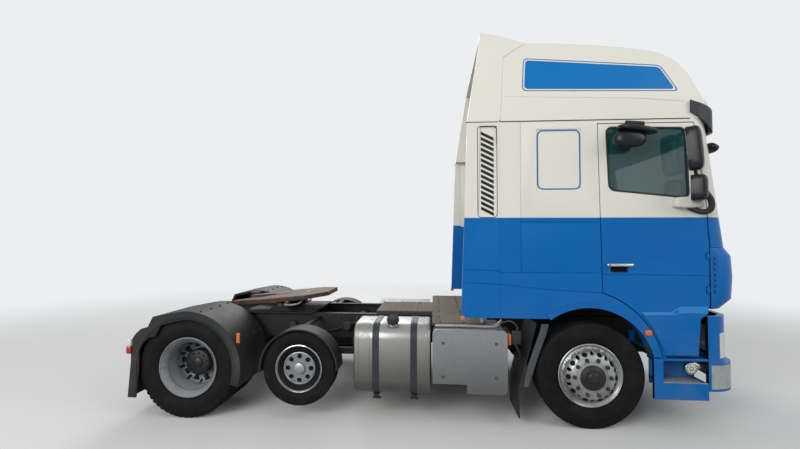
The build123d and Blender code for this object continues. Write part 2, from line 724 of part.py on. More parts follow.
with BuildPart() as side_boxes:
    for side in (-1, 1):
        with BuildSketch(Plane.XZ.offset(-side * box_y[0])):
            with Locations(((box_x[0] + box_x[1]) / 2, (box_z[0] + box_z[1]) / 2)):
                RectangleRounded(box_x[1] - box_x[0], box_z[1] - box_z[0], box_corner_r)
        extrude(amount=-side * (box_y[1] - box_y[0]))
        add(side_box((box_x[0] - 10, box_x[0] + box_step_x), (box_y[0] - 10, box_y[1] + 10),
                     (box_z[0] - 10, box_z[0] + box_step_z), side), mode=Mode.SUBTRACT)
        for x in (box_x[0] + 120, box_x[1] - 180):
            add(side_box((x, x + bracket_width), (rail_outer_y, box_y[0] + 20), bracket_z, side))
    with BuildSketch(Plane.YZ.offset(silencer_x[0])):
        with Locations(((silencer_y[0] + silencer_y[1]) / 2, (silencer_z[0] + silencer_z[1]) / 2)):
            RectangleRounded(silencer_y[1] - silencer_y[0], silencer_z[1] - silencer_z[0],
                             silencer_corner_r)
    extrude(amount=silencer_x[1] - silencer_x[0])
    for x in [along_tank(place) for place in strap_places]:
        add(side_box((x - bracket_width / 2, x + bracket_width / 2), (rail_outer_y, silencer_y[0] + 20),
                     bracket_z, 1))
save(side_boxes, "side_boxes")

# Mudguards: squared arcs over the drive wheels, round arcs over the pusher wheels
# and an inclined flap behind each front wheel
guard_y = (560, 1272)
guard_in_r = 545
guard_skin = 24
guard_rear_x = drive_axle_x - 566
guard_rear_rows = [(-345, 1010), (-400, 900), (-465, 888), (-518, 842), (-566, 775), (-566, 560), (-592, 205)]
valance_y = 1258
valance_depth = 62
guard_arm_x = (drive_axle_x - 60, drive_axle_x + 60)
guard_arm = 30
pusher_guard_in_r = 380
pusher_guard_skin = 16
pusher_guard_y = (960, 1225)
pusher_guard_angles = (0, 90, 185)
flap_y = (700, 1200)
flap_outline = ahead([(-500, 993), (-665, 382), (-665, 90), (-677, 90), (-677, 382), (-515, 993)])
flap_bracket_x = (front_axle_x - 640, front_axle_x - 586)
flap_bracket_z = (690, 730)


def drive_guard_outline(radius, inset):
    """Front foot, middle and crown of an arc over the wheel, then the shouldered rear, moved inwards."""
    arc = [arc_point(drive_axle_x, tyre_r, radius, angle) for angle in (-17, 40, 95)]
    rear = [(drive_axle_x + x + inset, z - inset) for x, z in guard_rear_rows[:-1]]
    tip_x, tip_z = guard_rear_rows[-1]
    return arc + rear + [(drive_axle_x + tip_x + inset, tip_z)]


def drive_guard(y_in, y_out, r_in, r_out, side):
    inner = drive_guard_outline(r_in, r_out - r_in)
    outer = drive_guard_outline(r_out, 0)
    with BuildPart(mode=Mode.PRIVATE) as guard:
        with BuildSketch(Plane.XZ.offset(-side * y_in)):
            with BuildLine():
                ThreePointArc(*outer[:3])
                Polyline(*outer[2:], *reversed(inner[2:]))
                ThreePointArc(*reversed(inner[:3]))
                Line(inner[0], outer[0])
            make_face()
        extrude(amount=-side * (y_out - y_in))
    return guard.part


with BuildPart() as mudguards:
    guard_out_r = guard_in_r + guard_skin
    guard_top_z = tyre_r + guard_in_r
    for side in (-1, 1):
        add(drive_guard(guard_y[0], guard_y[1], guard_in_r, guard_out_r, side))
        add(drive_guard(valance_y, guard_y[1], guard_in_r - valance_depth, guard_out_r, side))
        add(side_box(guard_arm_x, (rail_outer_y, rail_outer_y + guard_arm),
                     (rail_top_z - 120, guard_top_z + guard_skin / 2), side))
        add(side_box(guard_arm_x, (rail_outer_y, guard_y[0] + 10),
                     (guard_top_z - 4, guard_top_z + guard_skin / 2), side))
        add(ring_plate((pusher_axle_x, pusher_axle_z),
                       (pusher_guard_in_r, pusher_guard_in_r + pusher_guard_skin),
                       pusher_guard_angles, *pusher_guard_y, side))
        pusher_top_z = pusher_axle_z + pusher_guard_in_r
        add(side_box((pusher_axle_x - 25, pusher_axle_x + 25), (rail_outer_y, pusher_guard_y[0] + 10),
                     (pusher_top_z - 12, pusher_top_z + 10), side))
        add(side_plate(flap_outline, *flap_y, side))
        add(side_box(flap_bracket_x, (rail_outer_y, flap_y[0] + 60), flap_bracket_z, side))
save(mudguards, "mudguards")

# Tail lamps on the rear faces of the drive mudguards
lamp_depth = 48
lamp_y = (640, 1040)
lamp_z = (600, 760)

with BuildPart() as tail_lamps:
    for side in (-1, 1):
        add(side_box((guard_rear_x - lamp_depth, guard_rear_x), lamp_y, lamp_z, side))
save(tail_lamps, "tail_lamps")

# Bumper: an upper band set back under the front panel and a deeper lower band
upper_bumper_x = front_axle_x + 1335
lower_bumper_x = front_axle_x + 1400
bumper_rear_x = front_axle_x + 1030
bumper_half_width = cab_half_width - 8
bumper_wall = 50
upper_band_z = (655, 1085)
lower_band_z = (402, 655)
upper_corner_r = 240
lower_corner_r = 270
band_shelf = 30
headlamp_y = (cab_half_width - 545, cab_half_width - 125)
headlamp_z = (690, 940)
headlamp_depth = 90
lamp_clearance = 0.5
bumper_stay_y = (320, 390)
bumper_stay_z = (700, 860)
lower_grille_half_width = 560
lower_grille_zs = (440, 520, 600)
lower_slot_height = 46
fog_lamp_y = cab_half_width - 480
fog_lamp_z = 525
fog_lamp_r = 62
fog_lamp_depth = 34


def bumper_band(front_x, corner_r, z, inset=0):
    return front_block(front_x - inset, bumper_half_width - inset, corner_r - inset,
                       bumper_rear_x - (10 if inset else 0), z)


with BuildPart() as bumper:
    add(bumper_band(upper_bumper_x, upper_corner_r, upper_band_z))
    add(bumper_band(lower_bumper_x, lower_corner_r, lower_band_z))
    add(bumper_band(upper_bumper_x, upper_corner_r, (lower_band_z[1] - 1, upper_band_z[1] + 1), bumper_wall),
        mode=Mode.SUBTRACT)
    add(bumper_band(lower_bumper_x, lower_corner_r, (lower_band_z[0] - 1, lower_band_z[1] - band_shelf),
                    bumper_wall), mode=Mode.SUBTRACT)
    for side in (-1, 1):
        add(side_box((bumper_rear_x - 10, lower_bumper_x), headlamp_y, headlamp_z, side), mode=Mode.SUBTRACT)
        add(side_box((front_cross_x + cross_width, upper_bumper_x - bumper_wall + 5), bumper_stay_y,
                     bumper_stay_z, side))
        add(rod((lower_bumper_x - bumper_wall - fog_lamp_depth, side * fog_lamp_y, fog_lamp_z),
                (lower_bumper_x, side * fog_lamp_y, fog_lamp_z), fog_lamp_r), mode=Mode.SUBTRACT)
    for z in lower_grille_zs:
        add(box_between((upper_bumper_x - 2 * bumper_wall, lower_bumper_x),
                        (-lower_grille_half_width, lower_grille_half_width),
                        (z - lower_slot_height / 2, z + lower_slot_height / 2)), mode=Mode.SUBTRACT)
save(bumper, "bumper")

with BuildPart() as headlamps:
    for side in (-1, 1):
        add(side_box((bumper_rear_x, lower_bumper_x),
                     (headlamp_y[0] + lamp_clearance, headlamp_y[1] - lamp_clearance),
                     (headlamp_z[0] + lamp_clearance, headlamp_z[1] - lamp_clearance), side))
    add(bumper_band(upper_bumper_x, upper_corner_r, upper_band_z), mode=Mode.INTERSECT)
    add(bumper_band(upper_bumper_x, upper_corner_r, upper_band_z, headlamp_depth), mode=Mode.SUBTRACT)
save(headlamps, "headlamps")

# Entry steps below each door
step_x = (front_axle_x + 612, bumper_rear_x - seat_clearance)
step_y = (cab_half_width - 260, bumper_half_width)
step_z = (318, 472)
post_x = (front_axle_x + 548, front_axle_x + 632)
step_wall = 22
step_back_z = (step_z[0] + 80, 700)
step_top_z = 694
step_top_y = cab_half_width - 155
hanger_x = (step_x[0] + 40, step_x[0] + 110)
hanger_z = (640, 690)
hanger_plate_z = (640, 800)

with BuildPart() as entry_steps:
    for side in (-1, 1):
        add(side_box((post_x[0], step_x[1]), (step_y[1] - step_wall, step_y[1]), step_z, side))
        add(side_box(step_x, step_y, (step_z[1] - step_wall, step_z[1]), side))
        add(side_box(step_x, (step_y[0], step_y[0] + step_wall), step_back_z, side))
        shelf_z = (step_top_z - step_wall, step_top_z)
        add(side_box(post_x, (step_y[1] - 2 * step_wall, step_y[1]), (step_z[0], shelf_z[0]), side))
        add(side_box((post_x[0], step_x[1]), (step_top_y, step_y[1]), shelf_z, side))
        add(side_box(hanger_x, (rail_outer_y, step_y[0] + 5), hanger_z, side))
        add(side_box(hanger_x, (rail_outer_y, rail_outer_y + step_wall), hanger_plate_z, side))
save(entry_steps, "entry_steps")


def upper_cab(side_inset, front_inset, rear_inset):
    """The cab above the waist, with its walls moved inwards."""
    return front_loft([(cab_waist_z, waist_front_x - front_inset, waist_corner_r),
                       (roof_joint_z, joint_front_x - front_inset, joint_corner_r)],
                      cab_half_width - side_inset, cab_rear_x + rear_inset)


# Door outline in side view, down to the skirt that covers the upper step
sill_arc = [(front_axle_x + 99, 1293), (front_axle_x + 455, 1058), (front_axle_x + 629, door_skirt_z)]
door_edge = ahead([(940, door_skirt_z), (966, 1074), (1045, door_bottom_z), (1050, 1700),
                   (1025, door_top_z - 735), (930, door_top_z), (70, door_top_z)])
window_outline = ahead([(135, door_top_z - 23), (158, 2250), (892, 2172), (872, door_top_z - 39)])
body_line_z = 1465
handle_cup_x = (front_axle_x + 175, front_axle_x + 322)
handle_cup_z = (1492, 1562)
handle_cup_depth = 24


def door_plate(y_inner, y_outer, side, grow=0):
    """The door's whole outline as a plate, grown by the gap for its opening."""
    with BuildPart(mode=Mode.PRIVATE) as plate:
        with BuildSketch(Plane.XZ.offset(-side * y_inner)):
            with BuildLine():
                ThreePointArc(*sill_arc)
                Polyline(sill_arc[2], *door_edge, sill_arc[0])
            make_face()
            if grow:
                offset(amount=grow, kind=Kind.INTERSECTION)
        extrude(amount=-side * (y_outer - y_inner))
    return plate.part


# Cab shell: walls, floor, pillars, wings and the arches over the front wheels
firewall_x = front_axle_x + 1200
firewall_half_width = cab_half_width - 145
cowl_thickness = 28
lower_side_x = front_axle_x + 1055
screen_bottom_z = 1750
screen_top_z = roof_joint_z - 140
screen_half_width = (cab_half_width - 180, cab_half_width - 200)
screen_plane_x = front_axle_x + 900
screen_setback = 12
screen_thickness = 12
arch_liner = 14
arch_liner_depth = 20
arch_liner_y = cab_half_width - 195
arch_angles = (127, 70, 14)
flare_width = 46
flare_out = 12
wing_top_z = 1310
wing_outline = [(cab_rear_x, skirt_z), (front_axle_x - 300, skirt_z), (front_axle_x - 300, 700),
                (front_axle_x + 660, 700), (front_axle_x + 660, wing_top_z), (cab_rear_x, wing_top_z)]
blind_window = ahead([(-502, roof_joint_z - 81), (-502, 2261), (-87, 2261), (-87, roof_joint_z - 81)])
blind_window_depth = 8
# Seams of the sleeper's side, each a row of (x from the front axle, z)
cab_seams = [
    [(-650, body_line_z + 10), (-650, roof_joint_z)],
    [(-650, 1952), (74, 1952)],
    [(-850, body_line_z + 10), (74, body_line_z + 10)],
    [(-850, 1360), (-335, 1311), (96, 1291)],
]

# Hinges of the doors, at the front edge
hinge_x = front_axle_x + 1036
hinge_zs = (1330, 1640)
hinge_half_height = 24
hinge_pin_r = 5
hinge_pin_reach = 25
hinge_y = cab_half_width - hinge_pin_r
hinge_notch = 6
hinge_lug_back = 10
hinge_lug_depth = 90

# Arms that carry the cab on its front tilt pins: (x, z) from the pins
tilt_arm = [(-28, -22), (10, -30), (28, 18), (-90, 128), (-150, 317), (-310, 317)]
tilt_arm_outline = [(tilt_pivot[0] + x, tilt_pivot[1] + z) for x, z in tilt_arm]

with BuildPart() as cab_shell:
    add(upper_cab(0, 0, 0))
    add(box_between((cab_rear_x, lower_side_x), (-cab_half_width, cab_half_width),
                    (cab_floor_z, cab_waist_z)))
    add(box_between((lower_side_x, firewall_x), (-firewall_half_width, firewall_half_width),
                    (cab_floor_z, cab_waist_z)))
    add(upper_cab(cab_wall, cab_front_wall, cab_rear_wall), mode=Mode.SUBTRACT)
    inner_half_width = cab_half_width - cab_wall
    inner_firewall = firewall_half_width - cab_front_wall
    inner_z = (cab_floor_z + floor_thickness, cab_waist_z + 1)
    add(box_between((cab_rear_x + cab_rear_wall, lower_side_x - cab_front_wall),
                    (-inner_half_width, inner_half_width), inner_z), mode=Mode.SUBTRACT)
    add(box_between((lower_side_x - cab_front_wall - 1, firewall_x - cab_front_wall),
                    (-inner_firewall, inner_firewall), inner_z), mode=Mode.SUBTRACT)
    cowl_z = (cab_waist_z, cab_waist_z + cowl_thickness)
    add(front_block(waist_front_x - 2, cab_half_width - 2, waist_corner_r, lower_side_x - cab_wall, cowl_z))
    add(box_between((lower_side_x - cab_wall - 10, firewall_x - cab_front_wall),
                    (-inner_firewall, inner_firewall), cowl_z), mode=Mode.SUBTRACT)
    for side in (-1, 1):
        add(side_plate(wing_outline, cab_half_width - wing_thickness, cab_half_width, side))
        liner_radii = (arch_r - arch_liner_depth, arch_r + arch_liner)
        add(ring_plate(arch_centre, liner_radii, arch_angles, arch_liner_y, cab_half_width - 5, side))
        flare_radii = (arch_r - arch_liner_depth, arch_r + flare_width)
        flare_y = (cab_half_width - wing_thickness, cab_half_width + flare_out)
        add(ring_plate(arch_centre, flare_radii, arch_angles, *flare_y, side))
    add(cross_bore(arch_centre, arch_r), mode=Mode.SUBTRACT)
    for side in (-1, 1):
        opening = door_plate(inner_half_width - 5, cab_half_width + 20, side, door_gap)
        add(opening, mode=Mode.SUBTRACT)
        add(opening.moved(Location((door_front_gap, 0, 0))), mode=Mode.SUBTRACT)
        add(side_plate(blind_window, cab_half_width - blind_window_depth, cab_half_width + 5, side),
            mode=Mode.SUBTRACT)
        for row in cab_seams:
            for groove in seam(ahead(row), side):
                add(groove, mode=Mode.SUBTRACT)
    with BuildSketch(Plane.YZ.offset(screen_plane_x)):
        with BuildLine():
            Polyline((-screen_half_width[0], screen_bottom_z), (screen_half_width[0], screen_bottom_z),
                     (screen_half_width[1], screen_top_z), (-screen_half_width[1], screen_top_z),
                     close=True)
        make_face()
    extrude(amount=waist_front_x - screen_plane_x, mode=Mode.SUBTRACT)
    for side in (-1, 1):
        for z in hinge_zs:
            add(side_box((hinge_x - hinge_lug_back, lower_side_x - 2),
                         (cab_half_width - hinge_lug_depth, cab_half_width),
                         (z - hinge_half_height, z + hinge_half_height), side))
            pin_half = hinge_half_height + hinge_pin_reach
            add(rod((hinge_x, side * hinge_y, z - pin_half), (hinge_x, side * hinge_y, z + pin_half),
                    hinge_pin_r))
        add(side_plate(tilt_arm_outline, *tilt_arm_y, side))
        add(rod((tilt_pivot[0], side * tilt_bracket_y[0], tilt_pivot[1]),
                (tilt_pivot[0], side * tilt_arm_y[1], tilt_pivot[1]), tilt_pin_r))
save(cab_shell, "cab_shell")

with BuildPart() as windscreen:
    add(upper_cab(screen_setback, screen_setback, 0))
    add(upper_cab(screen_setback + screen_thickness, screen_setback + screen_thickness, 0),
        mode=Mode.SUBTRACT)
    with BuildSketch(Plane.YZ.offset(screen_plane_x)):
        with BuildLine():
            Polyline((-screen_half_width[0], screen_bottom_z), (screen_half_width[0], screen_bottom_z),
                     (screen_half_width[1], screen_top_z), (-screen_half_width[1], screen_top_z),
                     close=True)
        make_face()
        offset(amount=-seat_clearance, kind=Kind.INTERSECTION)
    extrude(amount=waist_front_x - screen_plane_x, mode=Mode.INTERSECT)
save(windscreen, "windscreen")

# Roof above the joint line, hollow and open to the cab. Rows are (x from the front axle, height)
roof_wall = 40
roof_rows = [(-842, 0), (-792, 675), (-567, 831), (-228, 813), (152, 777), (524, 723), (679, 684),
             (825, 595), (927, 465), (988, 297), (1030, 200), (1190, 40), (1190, 0)]
roof_profile = ahead([(x, roof_joint_z + rise) for x, rise in roof_rows])
roof_hollow = ahead([(x, roof_joint_z + rise if rise else roof_joint_z - 2 * roof_wall)
                     for x, rise in roof_rows])
# Half of the cross section: (distance inside the cab's side, height over the joint)
roof_section_rows = [(0, -225), (0, 0), (19, 215), (141, 775), (242, 990)]
roof_corner_r = 190
roof_front_x = front_axle_x + 1215
roof_rear_x = front_axle_x - 1400
roof_z = (roof_joint_z - 325, roof_joint_z + 1025)


def roof_block(profile, inset):
    """Side profile and cross section combined, both moved inwards by an inset."""
    half_section = [(cab_half_width - y, roof_joint_z + rise) for y, rise in roof_section_rows]
    section = half_section + [(-y, z) for y, z in reversed(half_section)]
    with BuildPart(mode=Mode.PRIVATE) as block:
        with BuildSketch(Plane.XZ.offset(-cab_half_width)):
            with BuildLine():
                Polyline(*profile, close=True)
            make_face()
            if inset:
                offset(amount=-inset, kind=Kind.INTERSECTION)
        extrude(amount=2 * cab_half_width)
        with BuildSketch(Plane.YZ.offset(roof_rear_x)):
            with BuildLine():
                Polyline(*section, close=True)
            make_face()
            if inset:
                offset(amount=-inset, kind=Kind.INTERSECTION)
        extrude(amount=roof_front_x - roof_rear_x, mode=Mode.INTERSECT)
        add(front_block(roof_front_x - inset, cab_half_width - inset, roof_corner_r, roof_rear_x, roof_z),
            mode=Mode.INTERSECT)
    return block.part


with BuildPart() as roof:
    add(roof_block(roof_profile, 0))
    add(roof_block(roof_hollow, roof_wall), mode=Mode.SUBTRACT)
save(roof, "roof")

# Roof deflector and side fairings behind the cab. Rows are (x from the front axle, height)
deflector_rows = [(-1156, 20), (-1003, 985), (-811, 938), (-567, 833), (-792, 679), (-842, 20)]
deflector_hollow_rows = [(-1400, -25), (-1400, 1054), (-1003, 956), (-818, 908), (-650, 834),
                         (-818, 687), (-868, -25)]
# Half of the hollow's cross section: (distance inside the cab's side, height over the joint)
deflector_core_rows = [(160, -325), (160, 600), (300, 1020)]
fairing_top_z = roof_joint_z + 20 - seat_clearance
fairing_outline = ahead([(-1220, skirt_z), (-1156, fairing_top_z), (-850 - seat_clearance, fairing_top_z),
                         (-850 - seat_clearance, skirt_z)])
fairing_seams = [[(-1215, 1502), (-850, 1490)], [(-1219, 1377), (-850, 1361)]]
grille_top_z = roof_joint_z - 40
grille_outline = ahead([(-1055, 2040), (-1035, grille_top_z), (-875, grille_top_z), (-890, 2010),
                        (-980, 2000)])
grille_recess = 16
slot_x = (-1022, -908)
slot_bottom_z = 2085
slot_pitch = 52
slot_fall = 62
slot_height = 18
slot_count = int((grille_top_z - slot_bottom_z) / slot_pitch)


def deflector_core():
    """A block that narrows upwards, behind the roof."""
    half_section = [(cab_half_width - y, roof_joint_z + rise) for y, rise in deflector_core_rows]
    with BuildPart(mode=Mode.PRIVATE) as core:
        with BuildSketch(Plane.YZ.offset(roof_rear_x)):
            with BuildLine():
                Polyline(*half_section, *[(-y, z) for y, z in reversed(half_section)], close=True)
            make_face()
        extrude(amount=front_axle_x - roof_rear_x)
    return core.part


with BuildPart() as cab_extenders:
    add(roof_block(ahead([(x, roof_joint_z + rise) for x, rise in deflector_rows]), 0))
    hollow = roof_block(ahead([(x, roof_joint_z + rise) for x, rise in deflector_hollow_rows]), 0)
    add(hollow.intersect(deflector_core()), mode=Mode.SUBTRACT)
    for side in (-1, 1):
        add(side_plate(fairing_outline, cab_half_width - wing_thickness, cab_half_width, side))
        add(side_plate(grille_outline, cab_half_width - grille_recess, cab_half_width + 1, side),
            mode=Mode.SUBTRACT)
        for i in range(slot_count):
            z = slot_bottom_z + i * slot_pitch
            low_z = z - slot_fall
            slot = ahead([(slot_x[0], z), (slot_x[1], low_z), (slot_x[1], low_z + slot_height),
                          (slot_x[0], z + slot_height)])
            add(side_plate(slot, cab_half_width - wing_thickness - 5, cab_half_width, side),
                mode=Mode.SUBTRACT)
        for row in fairing_seams:
            for groove in seam(ahead(row), side):
                add(groove, mode=Mode.SUBTRACT)
save(cab_extenders, "cab_extenders")

# Front panel with its grille slots, between the bumper and the windscreen
panel_wall = 45
panel_bottom_z = 1153
panel_corner_r = 250
panel_rear_x = front_axle_x + 1058
# Rows are (z, front x from the front axle)
panel_sections = [(panel_bottom_z, 1300), (1240, 1405), (1450, 1420), (1640, 1408), (1718, 1346)]
grille_rows = 5
grille_row_z = 1210
grille_row_pitch = 84
grille_slot_height = 46
grille_half_width = cab_half_width - 485
grille_rib = 20
pad_y = cab_half_width - 345
pad_half_width = 40
pad_z = (1600, 1660)


def panel_block(inset):
    return front_loft([(z, front_axle_x + x - inset, panel_corner_r - inset) for z, x in panel_sections],
                      cab_half_width - inset, screen_plane_x)


with BuildPart() as front_panel:
    add(panel_block(0))
    add(panel_block(panel_wall), mode=Mode.SUBTRACT)
    add(box_between((screen_plane_x - 10, panel_rear_x), (-cab_half_width - 10, cab_half_width + 10),
                    (panel_bottom_z - 10, cab_waist_z)), mode=Mode.SUBTRACT)
    for i in range(grille_rows):
        z = grille_row_z + i * grille_row_pitch
        for side in (-1, 1):
            add(side_box((firewall_x - cab_front_wall, lower_bumper_x + 100),
                         (grille_rib / 2, grille_half_width), (z, z + grille_slot_height), side),
                mode=Mode.SUBTRACT)
    for side in (-1, 1):
        add(side_box((firewall_x, front_axle_x + 1345), (pad_y - pad_half_width, pad_y + pad_half_width),
                     pad_z, side))
save(front_panel, "front_panel")

# Sun visor across the top of the windscreen, on two brackets. Rows are (x, height over the joint)
visor_rows = [(905, 172), (1190, 75), (1250, -20), (1262, -113), (1145, -113), (905, 60)]
visor_outline = ahead([(x, roof_joint_z + rise) for x, rise in visor_rows])
visor_front_x = front_axle_x + 1255
visor_corner_r = 230
visor_wall = 42
visor_side = 14
visor_z = (roof_joint_z - 125, roof_joint_z + 175)
visor_bracket_x = (front_axle_x + 1120, visor_front_x - 30)
visor_bracket_y = 520
visor_bracket_z = (roof_joint_z - 85, roof_joint_z - 40)
visor_bracket_half_width = 30

with BuildPart() as sun_visor:
    visor_rear_x = front_axle_x + 905
    add(front_block(visor_front_x, cab_half_width + visor_side, visor_corner_r, visor_rear_x, visor_z))
    add(front_block(visor_front_x - visor_wall, cab_half_width + seat_clearance,
                    visor_corner_r - visor_side, visor_rear_x - 10, visor_z), mode=Mode.SUBTRACT)
    add(side_plate(visor_outline, -cab_half_width - 50, cab_half_width + 50, 1), mode=Mode.INTERSECT)
    for y in (-visor_bracket_y, visor_bracket_y):
        add(box_between(visor_bracket_x, (y - visor_bracket_half_width, y + visor_bracket_half_width),
                        visor_bracket_z))
    add(roof_block(roof_profile, 0), mode=Mode.SUBTRACT)
    add(upper_cab(0, 0, 0), mode=Mode.SUBTRACT)
save(sun_visor, "sun_visor")

# Front mirror, hung from the cab below the visor on the right
front_mirror_x = (front_axle_x + 1180, front_axle_x + 1285)
front_mirror_y = (-cab_half_width + 65, -cab_half_width + 325)
front_mirror_z = (roof_joint_z - 335, roof_joint_z - 180)
front_mirror_arm_y = (-cab_half_width + 195, -cab_half_width + 225)
front_mirror_arm_z = (roof_joint_z - 190, roof_joint_z - 160)
front_mirror_round = 30

with BuildPart() as front_mirror:
    add(box_between(front_mirror_x, front_mirror_y, front_mirror_z))
    add(box_between((screen_plane_x + 100, front_mirror_x[0] + 35), front_mirror_arm_y,
                    front_mirror_arm_z))
    fillet(front_mirror.edges().filter_by(Axis.Y).group_by(Axis.X)[-1], front_mirror_round)
    add(upper_cab(0, 0, 0), mode=Mode.SUBTRACT)
save(front_mirror, "front_mirror")

# Dashboard with the steering wheel
dash_half_width = cab_half_width - 205
driver_y = 550
wheel_centre = (front_axle_x + 690, driver_y, 1880)
wheel_tilt = 28
wheel_ring_r = 225
wheel_tube_r = 16
wheel_hub_r = 70
wheel_spoke = 60
column_r = 38
column_foot = (front_axle_x + 850, driver_y, 1660)

with BuildPart() as dashboard:
    dash_front = firewall_x - front_axle_x - cab_front_wall
    dash = ahead([(dash_front, 1420), (dash_front, 1700), (900, 1765), (770, 1700), (750, 1590), (880, 1420)])
    add(side_plate(dash, -dash_half_width, dash_half_width, 1))
    tilt = math.radians(wheel_tilt)
    tilted = Plane(origin=wheel_centre, z_dir=(-math.sin(tilt), 0, math.cos(tilt)))
    add(Solid.make_torus(wheel_ring_r, wheel_tube_r, tilted))
    with BuildSketch(tilted.offset(-wheel_tube_r / 2)):
        Rectangle(wheel_spoke, 2 * wheel_ring_r)
        Circle(wheel_hub_r)
    extrude(amount=wheel_tube_r)
    add(rod(wheel_centre, column_foot, column_r))
save(dashboard, "dashboard")

# Seats on their pedestals, and the bunk across the back
seat_half_width = 245
seat_floor_z = cab_floor_z + floor_thickness
seat_profile = ahead([(30, seat_floor_z), (360, seat_floor_z), (360, 1640), (470, 1660), (470, 1780),
                      (-10, 1780), (-90, 2420), (-210, 2400), (-130, 1640), (30, 1640)])
bunk_half_width = cab_half_width - 95
bunk_front_x = front_axle_x - 260
bunk_top_z = 1790
bunk_round = 60

with BuildPart() as seats:
    for y in (-driver_y, driver_y):
        add(side_plate(seat_profile, y - seat_half_width, y + seat_half_width, 1))
save(seats, "seats")

with BuildPart() as bunk:
    add(box_between((cab_rear_x + cab_rear_wall, bunk_front_x), (-bunk_half_width, bunk_half_width),
                    (seat_floor_z, bunk_top_z)))
    fillet(bunk.edges().filter_by(Axis.Y).group_by(Axis.Z)[-1].sort_by(Axis.X)[-1:], bunk_round)
save(bunk, "bunk")

# Doors with their glass, and the mirrors that ride on them
glass_setback = 14
glass_thickness = 8
mirror_y = (cab_half_width + 60, cab_half_width + 267)
# Mirror heads: rows are x from the front axle, then z
main_mirror = ((762, 943), (door_top_z - 470, door_top_z - 85))
wide_mirror = ((808, 975), (door_top_z - 739, door_top_z - 513))
kerb_mirror = ((130, 520), (door_top_z - 285, door_top_z - 133))
kerb_mirror_y = (cab_half_width + 45, cab_half_width + 245)
stalk_y = cab_half_width + 55
stalk_r = 16
stalk_ends = ((955, door_top_z - 760), (915, door_top_z - 60))
# Brackets from the door to the stalk, and to the kerb mirror: x from the front axle, then z
stalk_brackets = [((925, 1005), (door_top_z - 790, door_top_z - 720)),
                  ((880, 925), (door_top_z - 90, door_top_z - 47))]
kerb_bracket = ((300, 350), (door_top_z - 145, door_top_z - 3))


def make_door(side, name):
    with BuildPart() as door:
        add(door_plate(cab_half_width - cab_wall, cab_half_width, side))
        add(side_plate(window_outline, cab_half_width - cab_wall - 5, cab_half_width + 5, side),
            mode=Mode.SUBTRACT)
        add(side_box(handle_cup_x, (cab_half_width - handle_cup_depth, cab_half_width + 5), handle_cup_z,
                     side), mode=Mode.SUBTRACT)
        for groove in seam(ahead([(70, body_line_z), (1055, body_line_z - 5)]), side):
            add(groove, mode=Mode.SUBTRACT)
        for z in hinge_zs:
            half = hinge_half_height + hinge_notch
            add(side_box((hinge_x - 2 * hinge_lug_back, lower_side_x + 20),
                         (cab_half_width - cab_wall - 5, cab_half_width + 5), (z - half, z + half), side),
                mode=Mode.SUBTRACT)
            bore_half = half + hinge_pin_reach
            add(rod((hinge_x, side * hinge_y, z - bore_half), (hinge_x, side * hinge_y, z + bore_half),
                    hinge_pin_r + pin_clearance), mode=Mode.SUBTRACT)
    save(door, name)


def make_door_glass(side, name):
    with BuildPart() as glass:
        add(side_plate(window_outline, cab_half_width - glass_setback - glass_thickness,
                       cab_half_width - glass_setback, side, -seat_clearance))
    save(glass, name)


def mirror_box(place, y, side):
    (x0, x1), z = place
    return side_box((front_axle_x + x0, front_axle_x + x1), y, z, side)


def make_mirrors(side, name):
    with BuildPart() as mirrors:
        for place in (main_mirror, wide_mirror):
            add(mirror_box(place, mirror_y, side))
        ends = [(front_axle_x + x, side * stalk_y, z) for x, z in stalk_ends]
        add(rod(*ends, stalk_r))
        for place in stalk_brackets:
            add(mirror_box(place, (cab_half_width, stalk_y + stalk_r), side))
        if side < 0:
            add(mirror_box(kerb_mirror, kerb_mirror_y, side))
            add(mirror_box(kerb_bracket, (cab_half_width, kerb_mirror_y[0] + 40), side))
    save(mirrors, name)


for side, hand in ((-1, "right"), (1, "left")):
    make_door(side, f"door_{hand}")
    make_door_glass(side, f"door_glass_{hand}")
    make_mirrors(side, f"mirrors_{hand}")
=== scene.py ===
"""Semi truck tractor unit: finishes, details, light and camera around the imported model."""

import json
import math

import bmesh
import bpy
from mathutils import Matrix, Vector
from mathutils.bvhtree import BVHTree


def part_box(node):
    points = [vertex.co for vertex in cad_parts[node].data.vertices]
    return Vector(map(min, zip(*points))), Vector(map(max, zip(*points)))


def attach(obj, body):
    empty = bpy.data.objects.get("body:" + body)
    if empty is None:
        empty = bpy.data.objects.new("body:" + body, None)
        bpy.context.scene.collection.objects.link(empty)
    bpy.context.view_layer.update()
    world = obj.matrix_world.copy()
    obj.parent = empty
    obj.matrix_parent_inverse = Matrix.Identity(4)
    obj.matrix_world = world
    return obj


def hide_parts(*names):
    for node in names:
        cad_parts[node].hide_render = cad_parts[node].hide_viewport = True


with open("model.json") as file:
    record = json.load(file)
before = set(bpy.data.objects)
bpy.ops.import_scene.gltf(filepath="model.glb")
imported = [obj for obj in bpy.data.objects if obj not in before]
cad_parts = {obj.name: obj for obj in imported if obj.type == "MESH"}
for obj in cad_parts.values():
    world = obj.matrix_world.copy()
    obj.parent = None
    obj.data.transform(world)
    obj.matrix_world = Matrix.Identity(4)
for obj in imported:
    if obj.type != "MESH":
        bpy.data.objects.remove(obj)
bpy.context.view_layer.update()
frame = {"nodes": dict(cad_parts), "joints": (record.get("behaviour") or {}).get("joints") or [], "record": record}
nodes = frame["nodes"]

